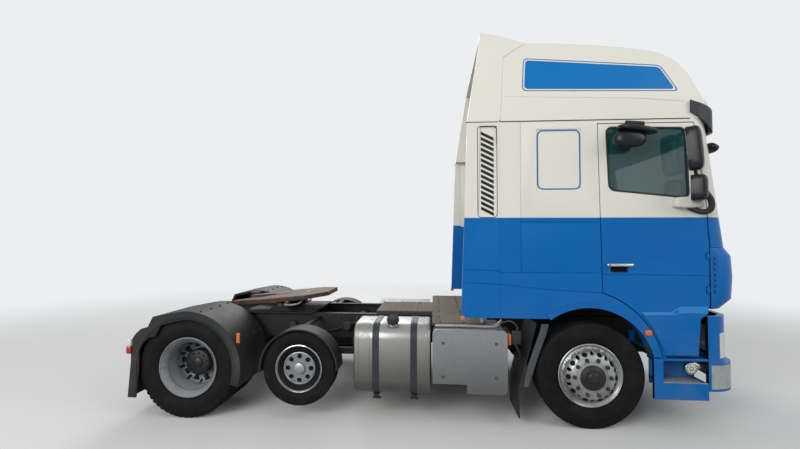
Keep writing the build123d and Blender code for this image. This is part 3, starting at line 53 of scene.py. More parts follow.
# Places that the record's joints give
joints = {joint["name"]: joint for joint in frame["joints"]}
FRONT_X = joints["spin_front_right"]["pos_m"][0]
DRIVE_X = joints["spin_drive_right"]["pos_m"][0]
PUSHER_X = joints["spin_pusher_right"]["pos_m"][0]
PUSHER_Z = joints["spin_pusher_right"]["pos_m"][2]
AXLE_Z = joints["spin_front_right"]["pos_m"][2]
SIDES = {"right": -1, "left": 1}
SIDE_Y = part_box("door_left")[1][1]
PAINT_SPLIT_Z = 2.0
LINE_BLUR = 0.0012
# Where rays start that look for a surface
BESIDE = 3
AHEAD_OF_ALL = 6
ABOVE_DECK = 3
# Angles in degrees from which on an edge is rounded, or a face counts as flat
ROUNDED_FROM = 24
FLAT_BELOW = 0.6


def colour(red, green, blue):
    """A colour as it shows on a screen, in 0 to 255, turned into the linear values that shaders take."""
    def linear(v):
        v /= 255
        return v / 12.92 if v <= 0.04045 else ((v + 0.055) / 1.055) ** 2.4
    return (linear(red), linear(green), linear(blue), 1)


def shaded(base, share):
    """A colour made darker, or lighter with a share over 1."""
    return tuple(c * share for c in base[:3]) + (1,)


WHITE = colour(224, 222, 211)
BLUE = colour(0, 99, 172)
# A lighter blue for painted highlights on up-facing creases and chamfers.
HIGHLIGHT_BLUE = colour(40, 124, 192)
STICKER_BLUE = colour(8, 112, 182)
DARK = colour(30, 34, 39)
BLACK = colour(18, 19, 20)
DUST = colour(128, 121, 108)
LINING = colour(74, 74, 72)
CAB_MIDDLE = (FRONT_X + 0.05, 0.0, 2.0)
LINING_TOP_Z = 3.0
LINING_REAR_X = FRONT_X - 0.84
RUST = colour(120, 66, 34)


# Shader nodes
class Tree:
    """A material's node tree with short calls for the nodes used here."""

    def __init__(self, name):
        self.material = bpy.data.materials.new(name)
        self.material.use_nodes = True
        self.nodes = self.material.node_tree.nodes
        self.links = self.material.node_tree.links
        self.shader = self.nodes["Principled BSDF"]
        self.place = self.add("ShaderNodeTexCoord").outputs["Object"]

    def add(self, kind, inputs=(), **settings):
        node = self.nodes.new(kind)
        for key, value in settings.items():
            setattr(node, key, value)
        for key, value in dict(inputs).items():
            self.put(node.inputs[key], value)
        return node

    def put(self, socket, value):
        if isinstance(value, bpy.types.NodeSocket):
            self.links.new(value, socket)
        else:
            socket.default_value = value

    def noise(self, scale, detail=4, roughness=0.55, stretch=(1, 1, 1), distortion=0.0):
        place = self.add("ShaderNodeMapping", {"Vector": self.place, "Scale": stretch}).outputs[0]
        return self.add("ShaderNodeTexNoise", {"Vector": place, "Scale": scale, "Detail": detail,
                                               "Roughness": roughness,
                                               "Distortion": distortion}).outputs["Fac"]

    def calc(self, operation, first, second=0.0, third=0.0):
        node = self.add("ShaderNodeMath", operation=operation)
        for socket, value in zip(node.inputs, (first, second, third)):
            self.put(socket, value)
        return node.outputs[0]

    def times(self, first, second):
        return self.calc("MULTIPLY", first, second)

    def step(self, value, low, high):
        """0 below low, 1 above high, smooth between."""
        return self.add("ShaderNodeMapRange", {"Value": value, "From Min": low, "From Max": high},
                        interpolation_type="SMOOTHSTEP").outputs[0]

    def mix(self, factor, first, second):
        node = self.add("ShaderNodeMix", data_type="RGBA")
        for socket, value in zip((node.inputs[0], node.inputs[6], node.inputs[7]), (factor, first, second)):
            self.put(socket, value)
        return node.outputs[2]

    def axis(self, name):
        return self.add("ShaderNodeSeparateXYZ", {0: self.place}).outputs[name]

    def dot(self, first, second):
        return self.add("ShaderNodeVectorMath", {0: first, 1: second},
                        operation="DOT_PRODUCT").outputs["Value"]

    def edge(self, radius):
        """1 on sharp edges, 0 on flat places."""
        bevel = self.add("ShaderNodeBevel", {"Radius": radius}, samples=4).outputs[0]
        true = self.add("ShaderNodeNewGeometry").outputs["Normal"]
        return self.step(self.calc("SUBTRACT", 1.0, self.dot(bevel, true)), 0.02, 0.2)

    def bump(self, height, strength=0.3, distance=0.002, soft_edge=0.0):
        node = self.add("ShaderNodeBump", {"Height": height, "Strength": strength, "Distance": distance})
        if soft_edge:
            self.put(node.inputs["Normal"],
                     self.add("ShaderNodeBevel", {"Radius": soft_edge}, samples=4).outputs[0])
        self.put(self.shader.inputs["Normal"], node.outputs[0])

    def finish(self, base, roughness, metallic=0.0, **more):
        self.put(self.shader.inputs["Base Color"], base)
        self.put(self.shader.inputs["Roughness"], roughness)
        self.put(self.shader.inputs["Metallic"], metallic)
        for key, value in more.items():
            self.put(self.shader.inputs[key.replace("_", " ").title().replace("Ior", "IOR")], value)
        return self.material


def dusty(tree, base, low, high, amount):
    """Road dust that thickens towards the ground, broken up by noise."""
    height = tree.step(tree.axis("Z"), low, high)
    patches = tree.step(tree.noise(2.4, 6, 0.62), 0.38, 0.66)
    fine = tree.noise(38, 3, 0.7)
    cover = tree.times(tree.calc("SUBTRACT", 1.0, height), tree.times(patches, fine))
    return tree.mix(tree.times(cover, amount), base, DUST)


def paint(name, upper, lower, dust_high=1.5, lined=False, rear_painted_shade=False):
    """Vehicle paint, one colour above the split height and one below it, with a lining on inner faces, and black
    painted shade on faces turned to the rear where asked.
    """
    t = Tree(name)
    line = t.step(t.axis("Z"), PAINT_SPLIT_Z - LINE_BLUR, PAINT_SPLIT_Z + LINE_BLUR)
    base = t.mix(line, lower, upper)
    streak = t.step(t.noise(4.0, 4, 0.6, stretch=(5, 5, 0.5)), 0.55, 0.85)
    base = t.mix(t.times(streak, 0.03), base, colour(120, 112, 98))
    cloud = t.step(t.noise(0.8, 4, 0.55), 0.35, 0.8)
    base = t.mix(t.times(cloud, 0.02), base, DUST)
    base = dusty(t, base, 0.3, dust_high, 0.35)
    scratch = t.step(t.noise(60, 2, 0.8), 0.72, 0.76)
    base = t.mix(t.times(scratch, t.edge(0.006)), base, colour(90, 84, 76))
    if lined:
        outward = t.add("ShaderNodeVectorMath", {0: t.place, 1: CAB_MIDDLE},
                        operation="SUBTRACT").outputs[0]
        facing = t.add("ShaderNodeTexCoord").outputs["Normal"]
        inner = t.calc("LESS_THAN", t.dot(outward, facing), -0.05)
        inner = t.times(inner, t.calc("LESS_THAN", t.calc("ABSOLUTE", t.axis("Y")), SIDE_Y - 0.03))
        inner = t.times(inner, t.calc("LESS_THAN", t.axis("Z"), LINING_TOP_Z))
        inner = t.times(inner, t.calc("GREATER_THAN", t.axis("X"), LINING_REAR_X))
        base = t.mix(inner, base, LINING)
    # Faces turned to the rear go black: painted shade inside the wheel arches and behind the bumper.
    if rear_painted_shade:
        facing = t.add("ShaderNodeTexCoord").outputs["Normal"]
        base = t.mix(t.step(t.dot(facing, (-1, 0, 0)), 0.75, 0.9), base, BLACK)
    rough = t.calc("ADD", 0.26, t.times(t.noise(3.2, 5, 0.6), 0.2))
    t.bump(t.noise(1.7, 2, 0.4), strength=0.08, distance=0.02, soft_edge=0.006)
    return t.finish(base, rough, specular_ior_level=0.14, coat_weight=0.06, coat_roughness=0.1)


def plastic(name, base, dust_amount=0.6, dust_high=1.6, roughness=0.55, shine=0.35):
    t = Tree(name)
    shade = t.mix(t.step(t.noise(1.6, 4, 0.6), 0.35, 0.7), base, shaded(base, 1.35))
    shade = dusty(t, shade, 0.2, dust_high, dust_amount)
    shade = t.mix(t.times(t.edge(0.004), 0.25), shade, colour(96, 96, 95))
    t.bump(t.noise(420, 2, 0.5), strength=0.25, distance=0.0008, soft_edge=0.004)
    rough = t.calc("ADD", roughness - 0.08, t.times(t.noise(7, 4, 0.6), 0.2))
    return t.finish(shade, rough, specular_ior_level=shine)


def steel(name, base, dust_amount=0.5, rust_amount=0.25, roughness=0.5, metallic=0.0, dust_high=1.2,
          shine=0.35):
    """Painted or bare steel with rust at its edges and in patches."""
    t = Tree(name)
    patches = t.step(t.noise(6, 6, 0.68), 0.56, 0.72)
    rust = t.mix(t.noise(34, 4, 0.7), RUST, colour(70, 44, 30))
    shade = t.mix(t.step(t.noise(2.2, 5, 0.6), 0.3, 0.75), base, shaded(base, 0.72))
    shade = t.mix(t.times(patches, rust_amount), shade, rust)
    shade = t.mix(t.times(t.edge(0.005), rust_amount), shade, rust)
    shade = dusty(t, shade, 0.1, dust_high, dust_amount)
    t.bump(t.noise(90, 4, 0.6), strength=0.25, distance=0.0012, soft_edge=0.003)
    rough = t.calc("ADD", roughness - 0.1, t.times(t.noise(11, 4, 0.6), 0.28))
    return t.finish(shade, rough, metallic, specular_ior_level=shine)


def brushed(name, base, roughness=0.38, stretch=(1, 30, 30), stain=0.35, metallic=0.85, darker_below=(0.1, 1.1)):
    """Aluminium or plated metal with a brushed grain, water stains and a darkening towards the bottom, which on
    the tank and the cover box is painted shade.
    """
    t = Tree(name)
    grain = t.noise(30, 3, 0.6, stretch=stretch)
    shade = t.mix(t.step(grain, 0.3, 0.7), base, shaded(base, 0.82))
    stains = t.step(t.noise(3.4, 7, 0.66, stretch=(1.3, 1.3, 0.7)), 0.42, 0.68)
    shade = t.mix(t.times(stains, stain), shade, colour(92, 89, 82))
    # Darker towards the bottom: a painted shade on the tank and the cover box.
    low = t.calc("SUBTRACT", 1.0, t.step(t.axis("Z"), *darker_below))
    shade = t.mix(t.times(low, 0.7), shade, colour(58, 58, 54))
    shade = dusty(t, shade, 0.1, 1.1, 0.35)
    t.bump(grain, strength=0.12, distance=0.0006, soft_edge=0.003)
    rough = t.calc("ADD", roughness - 0.08, t.times(stains, 0.25))
    return t.finish(shade, rough, metallic)


def rubber(name, base=colour(13, 13, 14), worn=colour(27, 27, 26), dirt=colour(48, 46, 42)):
    t = Tree(name)
    shade = t.mix(t.step(t.noise(5, 6, 0.65), 0.4, 0.75), base, worn)
    shade = t.mix(t.times(t.step(t.noise(18, 5, 0.7), 0.55, 0.75), 0.4), shade, dirt)
    t.bump(t.noise(220, 3, 0.6), strength=0.3, distance=0.0006)
    return t.finish(shade, t.calc("ADD", 0.62, t.times(t.noise(9, 4), 0.22)), specular_ior_level=0.14)


def glass(name, tint=colour(30, 84, 86), alpha=0.5):
    t = Tree(name)
    smear = t.step(t.noise(2.2, 5, 0.6), 0.4, 0.8)
    rough = t.calc("ADD", 0.03, t.times(smear, 0.08))
    return t.finish(tint, rough, alpha=alpha, specular_ior_level=0.8)


def coupling_plate(name):
    """The fifth wheel's top: old grease on it, and rust where the trailer's plate has rubbed."""
    t = Tree(name)
    place = t.add("ShaderNodeMapping", {"Vector": t.place, "Scale": (1.0, 2.2, 1.0)}).outputs[0]
    patches = t.add("ShaderNodeTexNoise", {"Vector": place, "Scale": 2.6, "Detail": 6,
                                           "Roughness": 0.6}).outputs["Fac"]
    rust = t.mix(t.noise(16, 5, 0.7), colour(126, 72, 42), colour(82, 56, 40))
    grease = t.mix(t.noise(7, 5, 0.6), colour(38, 34, 28), colour(74, 64, 48))
    shade = t.mix(t.step(patches, 0.40, 0.66), grease, rust)
    shade = t.mix(t.times(t.edge(0.005), 0.5), shade, colour(120, 104, 86))
    t.bump(t.noise(60, 4, 0.6), strength=0.3, distance=0.0012, soft_edge=0.003)
    return t.finish(shade, t.calc("ADD", 0.45, t.times(patches, 0.3)), specular_ior_level=0.25)


def mirror_face(name, tint):
    """Mirror glass, with faint smears."""
    t = Tree(name)
    smear = t.step(t.noise(1.6, 3, 0.5), 0.35, 0.75)
    shade = t.mix(smear, tint, shaded(tint, 0.92))
    return t.finish(shade, t.calc("ADD", 0.02, t.times(smear, 0.04)), 1.0)


def cloth(name, base):
    t = Tree(name)
    weave = t.add("ShaderNodeTexWave", {"Vector": t.place, "Scale": 190.0,
                                        "Distortion": 1.5}).outputs["Fac"]
    shade = t.mix(weave, base, shaded(base, 0.6))
    t.bump(weave, strength=0.4, distance=0.001)
    return t.finish(shade, 0.88, sheen_weight=0.2)


def light_lens(name, base):
    t = Tree(name)
    ribs = t.add("ShaderNodeTexWave", {"Vector": t.place, "Scale": 70.0}).outputs["Fac"]
    shade = t.mix(ribs, base, shaded(base, 0.7))
    t.bump(ribs, strength=0.3, distance=0.001)
    return t.finish(shade, 0.16, coat_weight=0.5)


MATERIALS = {
    "cab_white": paint("cab_two_tone", WHITE, BLUE, lined=True),
    # The rear-facing faces of these parts are painted black as shade.
    "cab_blue": paint("lower_blue", WHITE, BLUE, dust_high=1.1, rear_painted_shade=True),
    "trim_grey": plastic("trim_grey", DARK, dust_amount=0.15, dust_high=0.5, roughness=0.42, shine=0.3),
    "chassis_grey": steel("chassis_grey", colour(34, 36, 38), dust_amount=0.4, rust_amount=0.2,
                          roughness=0.55, dust_high=1.0, shine=0.2),
    "guard_black": plastic("guard_black", colour(14, 15, 18), dust_amount=0.35, dust_high=1.1, shine=0.25),
    # The tank's lower part is darkened: painted shade.
    "tank_alloy": brushed("tank_alloy", colour(160, 160, 156), darker_below=(0.35, 0.95)),
    "strap_steel": steel("strap_steel", colour(34, 42, 50), dust_amount=0.3, rust_amount=0.12,
                         roughness=0.45),
    # The cover box is lighter at its top and darker towards its foot: painted shade.
    "box_grey": brushed("box_cover", colour(140, 144, 147), roughness=0.42, stretch=(1, 1, 14), stain=0.10,
                        metallic=0.35, darker_below=(0.2, 0.95)),
    "deck_alloy": steel("deck_alloy", colour(74, 67, 58), dust_amount=0.35, rust_amount=0.3, roughness=0.62,
                        metallic=0.2),
    "axle_iron": steel("axle_iron", colour(38, 37, 36), dust_amount=0.6, rust_amount=0.35, roughness=0.65),
    "spring_steel": steel("spring_steel", colour(30, 30, 31), rust_amount=0.3, roughness=0.6),
    "rusty_plate": coupling_plate("rusty_plate"),
    "rim_alloy": brushed("rim_alloy", colour(168, 170, 171), roughness=0.36, stretch=(14, 14, 14),
                         stain=0.5, metallic=0.8, darker_below=(-1.0, -0.5)),
    "rim_steel": steel("rim_steel", colour(128, 136, 143), dust_amount=0.45, rust_amount=0.12),
    "tyre_rubber": rubber("tyre_rubber"),
    "glass": glass("cab_glass"),
    "lamp_red": light_lens("lamp_red", colour(150, 18, 16)),
    "lamp_clear": light_lens("lamp_clear", colour(190, 196, 198)),
    "dash_grey": plastic("dash_grey", colour(46, 46, 48), dust_amount=0.0, dust_high=1.0, roughness=0.6),
    "seat_cloth": cloth("seat_cloth", colour(48, 52, 62)),
    "rubber_trim": plastic("rubber_trim", colour(28, 29, 30), dust_amount=0.25, dust_high=1.0,
                           roughness=0.6),
    "black_gloss": plastic("black_gloss", colour(17, 19, 22), dust_amount=0.15, dust_high=0.6,
                           roughness=0.3, shine=0.28),
    "chrome": brushed("chrome", colour(205, 206, 206), roughness=0.16, stretch=(4, 4, 4), stain=0.25,
                      metallic=1.0),
    "bolt_steel": steel("bolt_steel", colour(140, 140, 138), dust_amount=0.3, rust_amount=0.35,
                        roughness=0.4, metallic=0.7),
    "black_iron": steel("black_iron", colour(38, 38, 39), dust_amount=0.45, roughness=0.55),
    "greasy_hub": steel("greasy_hub", colour(20, 22, 24), dust_amount=0.15, rust_amount=0.12,
                        roughness=0.4),
    "sticker": paint("roof_sticker", STICKER_BLUE, STICKER_BLUE),
    # Light blue paint that stands for a highlight.
    "blue_light": paint("blue_chamfer", HIGHLIGHT_BLUE, HIGHLIGHT_BLUE),
    "white_plain": paint("white_plain", WHITE, WHITE),
    "blue_plain": paint("blue_plain", BLUE, BLUE),
    "amber": light_lens("amber_lens", colour(226, 104, 20)),
    "red_lens": light_lens("red_lens", colour(176, 22, 20)),
    "white_lens": light_lens("white_lens", colour(222, 224, 224)),
    "mirror": mirror_face("mirror_glass", colour(170, 180, 186)),
    "dish_shade": plastic("dish_shade", colour(14, 15, 16), dust_amount=0.2, dust_high=0.6, roughness=0.7,
                          shine=0.1),
    "flap_grey": plastic("flap_grey", colour(58, 64, 68), dust_amount=0.5, dust_high=1.2, roughness=0.6),
    "step_alloy": steel("step_alloy", colour(150, 154, 156), dust_amount=0.3, rust_amount=0.1,
                        dust_high=0.5),
    "plate_white": plastic("blank_plate", colour(216, 216, 210), dust_amount=0.2, dust_high=0.9,
                           roughness=0.4),
    "tape": brushed("silver_tape", colour(170, 176, 180), roughness=0.4, stretch=(3, 3, 3), metallic=0.15,
                    darker_below=(-1.0, -0.5)),
    "hose": plastic("hose_black", colour(34, 34, 36), dust_amount=0.4, dust_high=1.4, roughness=0.5),
    "hose_red": plastic("hose_red", colour(150, 30, 26), dust_amount=0.3, dust_high=1.4, roughness=0.45),
    "hose_yellow": plastic("hose_yellow", colour(190, 150, 30), dust_amount=0.3, dust_high=1.4,
                           roughness=0.45),
    "pale_tube": brushed("pale_tube", colour(176, 172, 162), roughness=0.45, stretch=(5, 5, 5), stain=0.3,
                         metallic=0.5),
    "cap_black": plastic("cap_black", colour(34, 36, 40), dust_amount=0.5, dust_high=1.4, roughness=0.5),
    "carpet": cloth("cab_carpet", colour(58, 58, 60)),
    "seat_pad": cloth("seat_pad", colour(44, 50, 62)),
    "seat_centre": cloth("seat_centre", colour(66, 76, 96)),
    "mattress": cloth("mattress_ticking", colour(120, 124, 134)),
    "deck_rib": steel("deck_rib", colour(146, 136, 121), dust_amount=0.2, rust_amount=0.35, roughness=0.55,
                      dust_high=0.2, shine=0.3),
    "grease": steel("grease_patch", colour(44, 40, 36), dust_amount=0.1, rust_amount=0.3, roughness=0.3),
}

slot_of = {item["node"]: item["material_slot"] for item in frame["record"]["subparts"]}
for node_name, node_object in nodes.items():
    node_object.data.materials.clear()
    node_object.data.materials.append(MATERIALS[slot_of[node_name]])
body_of = {node: body for body, held in frame["record"]["behaviour"]["bodies"].items() for node in held}


# Shapes
def smooth_by_angle(mesh, degrees):
    for face in mesh.polygons:
        face.use_smooth = True
    mesh.set_sharp_from_angle(angle=math.radians(degrees))


def round_columns(count):
    """Even steps round a wheel, none of them notched."""
    return [(2 * math.pi * k / count, False) for k in range(count)]


def lug_columns(count):
    """Steps round a wheel in lugs and notches."""
    pitch = 2 * math.pi / count
    return [(pitch * (k + share), low) for k in range(count)
            for share, low in ((0.0, False), (0.66, False), (0.72, True), (0.94, True))]


def inset(points, distance):
    """A convex outline moved inwards."""
    count = len(points)
    area = sum(points[i][0] * points[(i + 1) % count][1] - points[(i + 1) % count][0] * points[i][1]
               for i in range(count))
    turn = 1 if area > 0 else -1
    lines = []
    for i in range(count):
        a, b = Vector(points[i]), Vector(points[(i + 1) % count])
        along = (b - a).normalized()
        inward = Vector((-along.y, along.x)) * turn * distance
        lines.append((a + inward, along))
    moved = []
    for i in range(count):
        (p, d), (q, e) = lines[i - 1], lines[i]
        cross = d.x * e.y - d.y * e.x
        t = ((q.x - p.x) * e.y - (q.y - p.y) * e.x) / cross
        moved.append(tuple(p + d * t))
    return moved


def round_corners(points, radius, steps=6):
    """An outline with its corners rounded by arcs that touch both edges."""
    made = []
    count = len(points)
    for i in range(count):
        before, corner, after = Vector(points[i - 1]), Vector(points[i]), Vector(points[(i + 1) % count])
        back, ahead = (before - corner), (after - corner)
        reach = min(radius, back.length * 0.48, ahead.length * 0.48)
        start, end = corner + back.normalized() * reach, corner + ahead.normalized() * reach
        for k in range(steps + 1):
            t = k / steps
            made.append(tuple(start * (1 - t) ** 2 + corner * 2 * t * (1 - t) + end * t ** 2))
    return made


class Shape:
    """Collects closed solids in one mesh. Distances from the middle are y measured outwards on a side."""

    def __init__(self):
        self.mesh = bmesh.new()

    def box(self, x, y, z, side=1, bevel=0.0, steps=2):
        low_y, high_y = sorted((side * y[0], side * y[1]))
        low, high = Vector((x[0], low_y, z[0])), Vector((x[1], high_y, z[1]))
        grow = Matrix.Diagonal((*(high - low), 1))
        made = bmesh.ops.create_cube(self.mesh, size=1, matrix=Matrix.Translation((low + high) / 2) @ grow)
        if bevel:
            edges = list({edge for vert in made["verts"] for edge in vert.link_edges})
            bmesh.ops.bevel(self.mesh, geom=edges, offset=bevel, segments=steps, profile=0.5,
                            affect="EDGES")
        return self

    def ring(self, points):
        """New corners at the points."""
        return [self.mesh.verts.new(point) for point in points]

    def loops(self, rings, closed=True):
        """Faces between rings of as many points each."""
        count = len(rings[0])
        pairs = list(zip(rings, rings[1:]))
        if closed:
            pairs.append((rings[-1], rings[0]))
        for first, second in pairs:
            for i in range(count):
                j = (i + 1) % count
                self.mesh.faces.new((first[i], first[j], second[j], second[i]))
        if not closed:
            self.mesh.faces.new(rings[0][::-1])
            self.mesh.faces.new(rings[-1])
        return self

    def spin(self, profile, centre, columns, side=1, face=0.0, notched=(), depth=0.0):
        """A closed profile of (distance outwards from a face, radius) turned about an axle at (x, z)."""
        if isinstance(columns, int):
            columns = round_columns(columns)
        rings = []
        for angle, low in columns:
            ring = []
            for i, (out, radius) in enumerate(profile):
                r = radius - depth if low and i in notched else radius
                ring.append(self.mesh.verts.new((centre[0] + r * math.cos(angle), side * (face + out),
                                                 centre[1] + r * math.sin(angle))))
            rings.append(ring)
        return self.loops(rings)

    def prism(self, outline, y, side=1, bevel=0.0, steps=2):
        """A side-view outline, given as (x, z), between two distances from the middle."""
        rings = [self.ring((px, side * out, pz) for px, pz in outline) for out in y]
        self.loops(rings, closed=False)
        if bevel:
            edges = [rings[1][i].link_edges for i in range(len(outline))]
            rim = {edge for group in edges for edge in group
                   if all(vert in rings[1] for vert in edge.verts)}
            bmesh.ops.bevel(self.mesh, geom=list(rim), offset=bevel, segments=steps, profile=0.5,
                            affect="EDGES")
        return self

    def band(self, outer, inner, y, side=1):
        """A flat ring between two outlines of as many points."""
        rings = []
        for outline, out in ((outer, y[0]), (outer, y[1]), (inner, y[1]), (inner, y[0])):
            rings.append(self.ring((px, side * out, pz) for px, pz in outline))
        return self.loops(rings)

    def border(self, outline, width, corners, y, side):
        """A flat ring along an outline, with its outer and inner corners rounded."""
        inner = round_corners(inset(outline, width), corners[1])
        return self.band(round_corners(outline, corners[0]), inner, y, side)

    def skin(self, outline, node, side, lift, thickness):
        """A thin sheet that lies on a node's outer side."""
        front = self.ring(on_side(node, x, z, side, lift) for x, z in outline)
        back = self.ring(vert.co - Vector((0, side * thickness, 0)) for vert in front)
        return self.loops([back, front], closed=False)

    def tube(self, points, radius, steps=12, divide=6):
        """A round bar along a smooth line through the points."""
        points = [Vector(p) for p in points]
        line = [points[0]]
        for i in range(len(points) - 1):
            a, b = points[max(i - 1, 0)], points[i]
            c, d = points[i + 1], points[min(i + 2, len(points) - 1)]
            parts = divide if len(points) > 2 else 1
            for k in range(1, parts + 1):
                t = k / parts
                line.append(0.5 * ((2 * b) + (c - a) * t + (2 * a - 5 * b + 4 * c - d) * t * t
                                   + (3 * b - a - 3 * c + d) * t ** 3))
        along = (line[1] - line[0]).normalized()
        across = along.orthogonal().normalized()
        rings = []
        for i, point in enumerate(line):
            ahead = (line[min(i + 1, len(line) - 1)] - line[max(i - 1, 0)]).normalized()
            across = (across - ahead * across.dot(ahead)).normalized()
            other = ahead.cross(across)
            rings.append(self.ring(point + radius * (across * math.cos(a) + other * math.sin(a))
                          for a in (2 * math.pi * k / steps for k in range(steps))))
        return self.loops(rings, closed=False)

    def pod(self, x, y, z, side=1, squareness=0.5, flat=None, steps=(28, 18)):
        """A rounded block that fills a box. With flat set, its rear face is cut flat at that share."""
        middle = Vector(((x[0] + x[1]) / 2, side * (y[0] + y[1]) / 2, (z[0] + z[1]) / 2))
        half = Vector(((x[1] - x[0]) / 2, (y[1] - y[0]) / 2, (z[1] - z[0]) / 2))

        def power(v):
            return math.copysign(abs(v) ** squareness, v)

        rings = []
        for k in range(1, steps[1]):
            rise = math.pi * (k / steps[1] - 0.5)
            ring = []
            for i in range(steps[0]):
                turn = 2 * math.pi * i / steps[0]
                unit = Vector((power(math.cos(rise)) * power(math.cos(turn)),
                               power(math.cos(rise)) * power(math.sin(turn)), power(math.sin(rise))))
                if flat is not None:
                    unit.x = max(unit.x, -flat)
                ring.append(self.mesh.verts.new(middle + Vector((unit.x * half.x, unit.y * half.y,
                                                                 unit.z * half.z))))
            rings.append(ring)
        return self.loops(rings, closed=False)

    def piece(self, name, material, body, smooth=35, replaces=(), slot=None):
        bmesh.ops.remove_doubles(self.mesh, verts=self.mesh.verts, dist=1e-6)
        bmesh.ops.recalc_face_normals(self.mesh, faces=self.mesh.faces)
        data = bpy.data.meshes.new(name)
        self.mesh.to_mesh(data)
        self.mesh.free()
        data.materials.append(MATERIALS[material])
        smooth_by_angle(data, smooth)
        made = bpy.data.objects.new(name, data)
        bpy.context.collection.objects.link(made)
        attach(made, body)
        if replaces:
            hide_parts(*replaces)
        return made


def soften(node, width, steps=3):
    """A copy of a node with its sharp edges rounded, shown in its place."""
    mesh = bmesh.new()
    mesh.from_mesh(nodes[node].data)
    bmesh.ops.remove_doubles(mesh, verts=mesh.verts, dist=2e-5)
    bmesh.ops.dissolve_limit(mesh, angle_limit=math.radians(FLAT_BELOW), verts=mesh.verts, edges=mesh.edges)
    data = bpy.data.meshes.new(node + "_shape")
    mesh.to_mesh(data)
    mesh.free()
    data.materials.append(MATERIALS[slot_of[node]])
    smooth_by_angle(data, 40)
    made = bpy.data.objects.new(node + "_shape", data)
    bpy.context.collection.objects.link(made)
    if width:
        round_over = made.modifiers.new("round_over", "BEVEL")
        round_over.width = width
        round_over.segments = steps
        round_over.limit_method = "ANGLE"
        round_over.angle_limit = math.radians(ROUNDED_FROM)
        round_over.use_clamp_overlap = True
    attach(made, body_of[node])
    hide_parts(node)
    return made


trees = {}


def tree_of(node):
    if node not in trees:
        mesh = bmesh.new()
        mesh.from_mesh(nodes[node].data)
        trees[node] = BVHTree.FromBMesh(mesh)
        mesh.free()
    return trees[node]


def on_side(node, x, z, side, lift=0.0):
    """The place on a node's outer side, seen from that side of the truck."""
    hit = tree_of(node).ray_cast(Vector((x, side * BESIDE, z)), Vector((0, -side, 0)))[0]
    return Vector((x, (hit.y if hit else side * SIDE_Y) + side * lift, z))


def on_front(node, y, z, lift=0.0):
    """The place on a node's front, seen from ahead."""
    hit = tree_of(node).ray_cast(Vector((AHEAD_OF_ALL, y, z)), Vector((-1, 0, 0)))[0]
    return Vector(((hit.x if hit else FRONT_X) + lift, y, z))


def front_x(value):
    return FRONT_X + value


def span(rear, front):
    """Two places ahead of the front axle."""
    return FRONT_X + rear, FRONT_X + front


def route(side, points, base_y=0.0):
    """Points of a line, given ahead of the front axle, outwards from base_y and in height."""
    return [(FRONT_X + x, side * (base_y + y), z) for x, y, z in points]


def off_side(near, far):
    """Two distances from the middle, given outwards from the cab's side."""
    return SIDE_Y + near, SIDE_Y + far


def ahead(points):
    return [(FRONT_X + x, z) for x, z in points]


# Rounded edges of the carried-over nodes
EDGE_ROUNDS = {
    "cab_shell": 0.006, "roof": 0.045, "cab_extenders": 0.012, "front_panel": 0.014, "bumper": 0.014,
    "sun_visor": 0.010, "dashboard": 0.012, "frame_rails": 0.003, "engine_block": 0.012,
    "front_axle_beam": 0.010, "drive_axle": 0.010, "pusher_axle": 0.008, "springs": 0.006,
    "propeller_shaft": 0.004, "air_tanks": 0.010, "fifth_wheel_base": 0.004, "fifth_wheel_plate": 0.009,
    "catwalk": 0.003, "tank_straps": 0.0015, "mudguards": 0.008, "tail_lamps": 0.006, "headlamps": 0.004,
    "entry_steps": 0.006, "windscreen": 0.002,
}
for hand in SIDES:
    EDGE_ROUNDS.update({f"door_{hand}": 0.005, f"door_glass_{hand}": 0.001, f"knuckle_{hand}": 0.004,
                        f"rim_front_{hand}": 0.0, f"rims_drive_{hand}": 0.0, f"rim_pusher_{hand}": 0.0})
for node_name, width in EDGE_ROUNDS.items():
    soften(node_name, width)

# Tyres
TYRE_R = 0.5
LIP_R = 0.2985
TYRE_HALF = 0.1575
RIM_HALF = 0.127
SEAT = 0.0003
LUG_DEPTH = 0.011
LUG_COUNT = 58
GROOVE_WIDTH = 0.012
GROOVE_DEPTH = 0.013
GROOVE_FOOT = 0.34
TREAD_STEPS = 120
# Points of a tyre's wall, as shares of the half width and of the height over the rim
WALL_SHARES = [(0.86, 0.13), (0.875, 0.15), (0.955, 0.32), (0.995, 0.45), (1.0, 0.5), (0.985, 0.62),
               (0.965, 0.70), (0.972, 0.72), (0.95, 0.80), (0.93, 0.88), (0.90, 0.95), (0.84, 0.985)]


def tread_line(half, grooves, radius):
    """The tread from its outer shoulder to its inner one, with grooves round it."""
    line = [(half, radius)]
    for middle in sorted(grooves, reverse=True):
        top, foot = GROOVE_WIDTH / 2, GROOVE_WIDTH * GROOVE_FOOT
        line += [(middle + top, radius), (middle + foot, radius - GROOVE_DEPTH),
                 (middle - foot, radius - GROOVE_DEPTH), (middle - top, radius)]
    return line + [(-half, radius)]


def tyre_outline(centre, half, radius, lip_r, rim_half, grooves):
    """The whole outline, as (distance outwards, radius)."""
    tall = radius - lip_r
    bead = rim_half - 0.0145
    wall = [(bead, lip_r - 0.0147), (bead, lip_r + SEAT), (bead + 0.007, lip_r + 0.004)]
    wall += [(wide * half, lip_r + high * tall) for wide, high in WALL_SHARES]
    tread = tread_line(0.76 * half, grooves, radius)
    mirrored = [(-out, r) for out, r in reversed(wall)]
    return [(centre + out, r) for out, r in wall + tread + mirrored], len(wall)


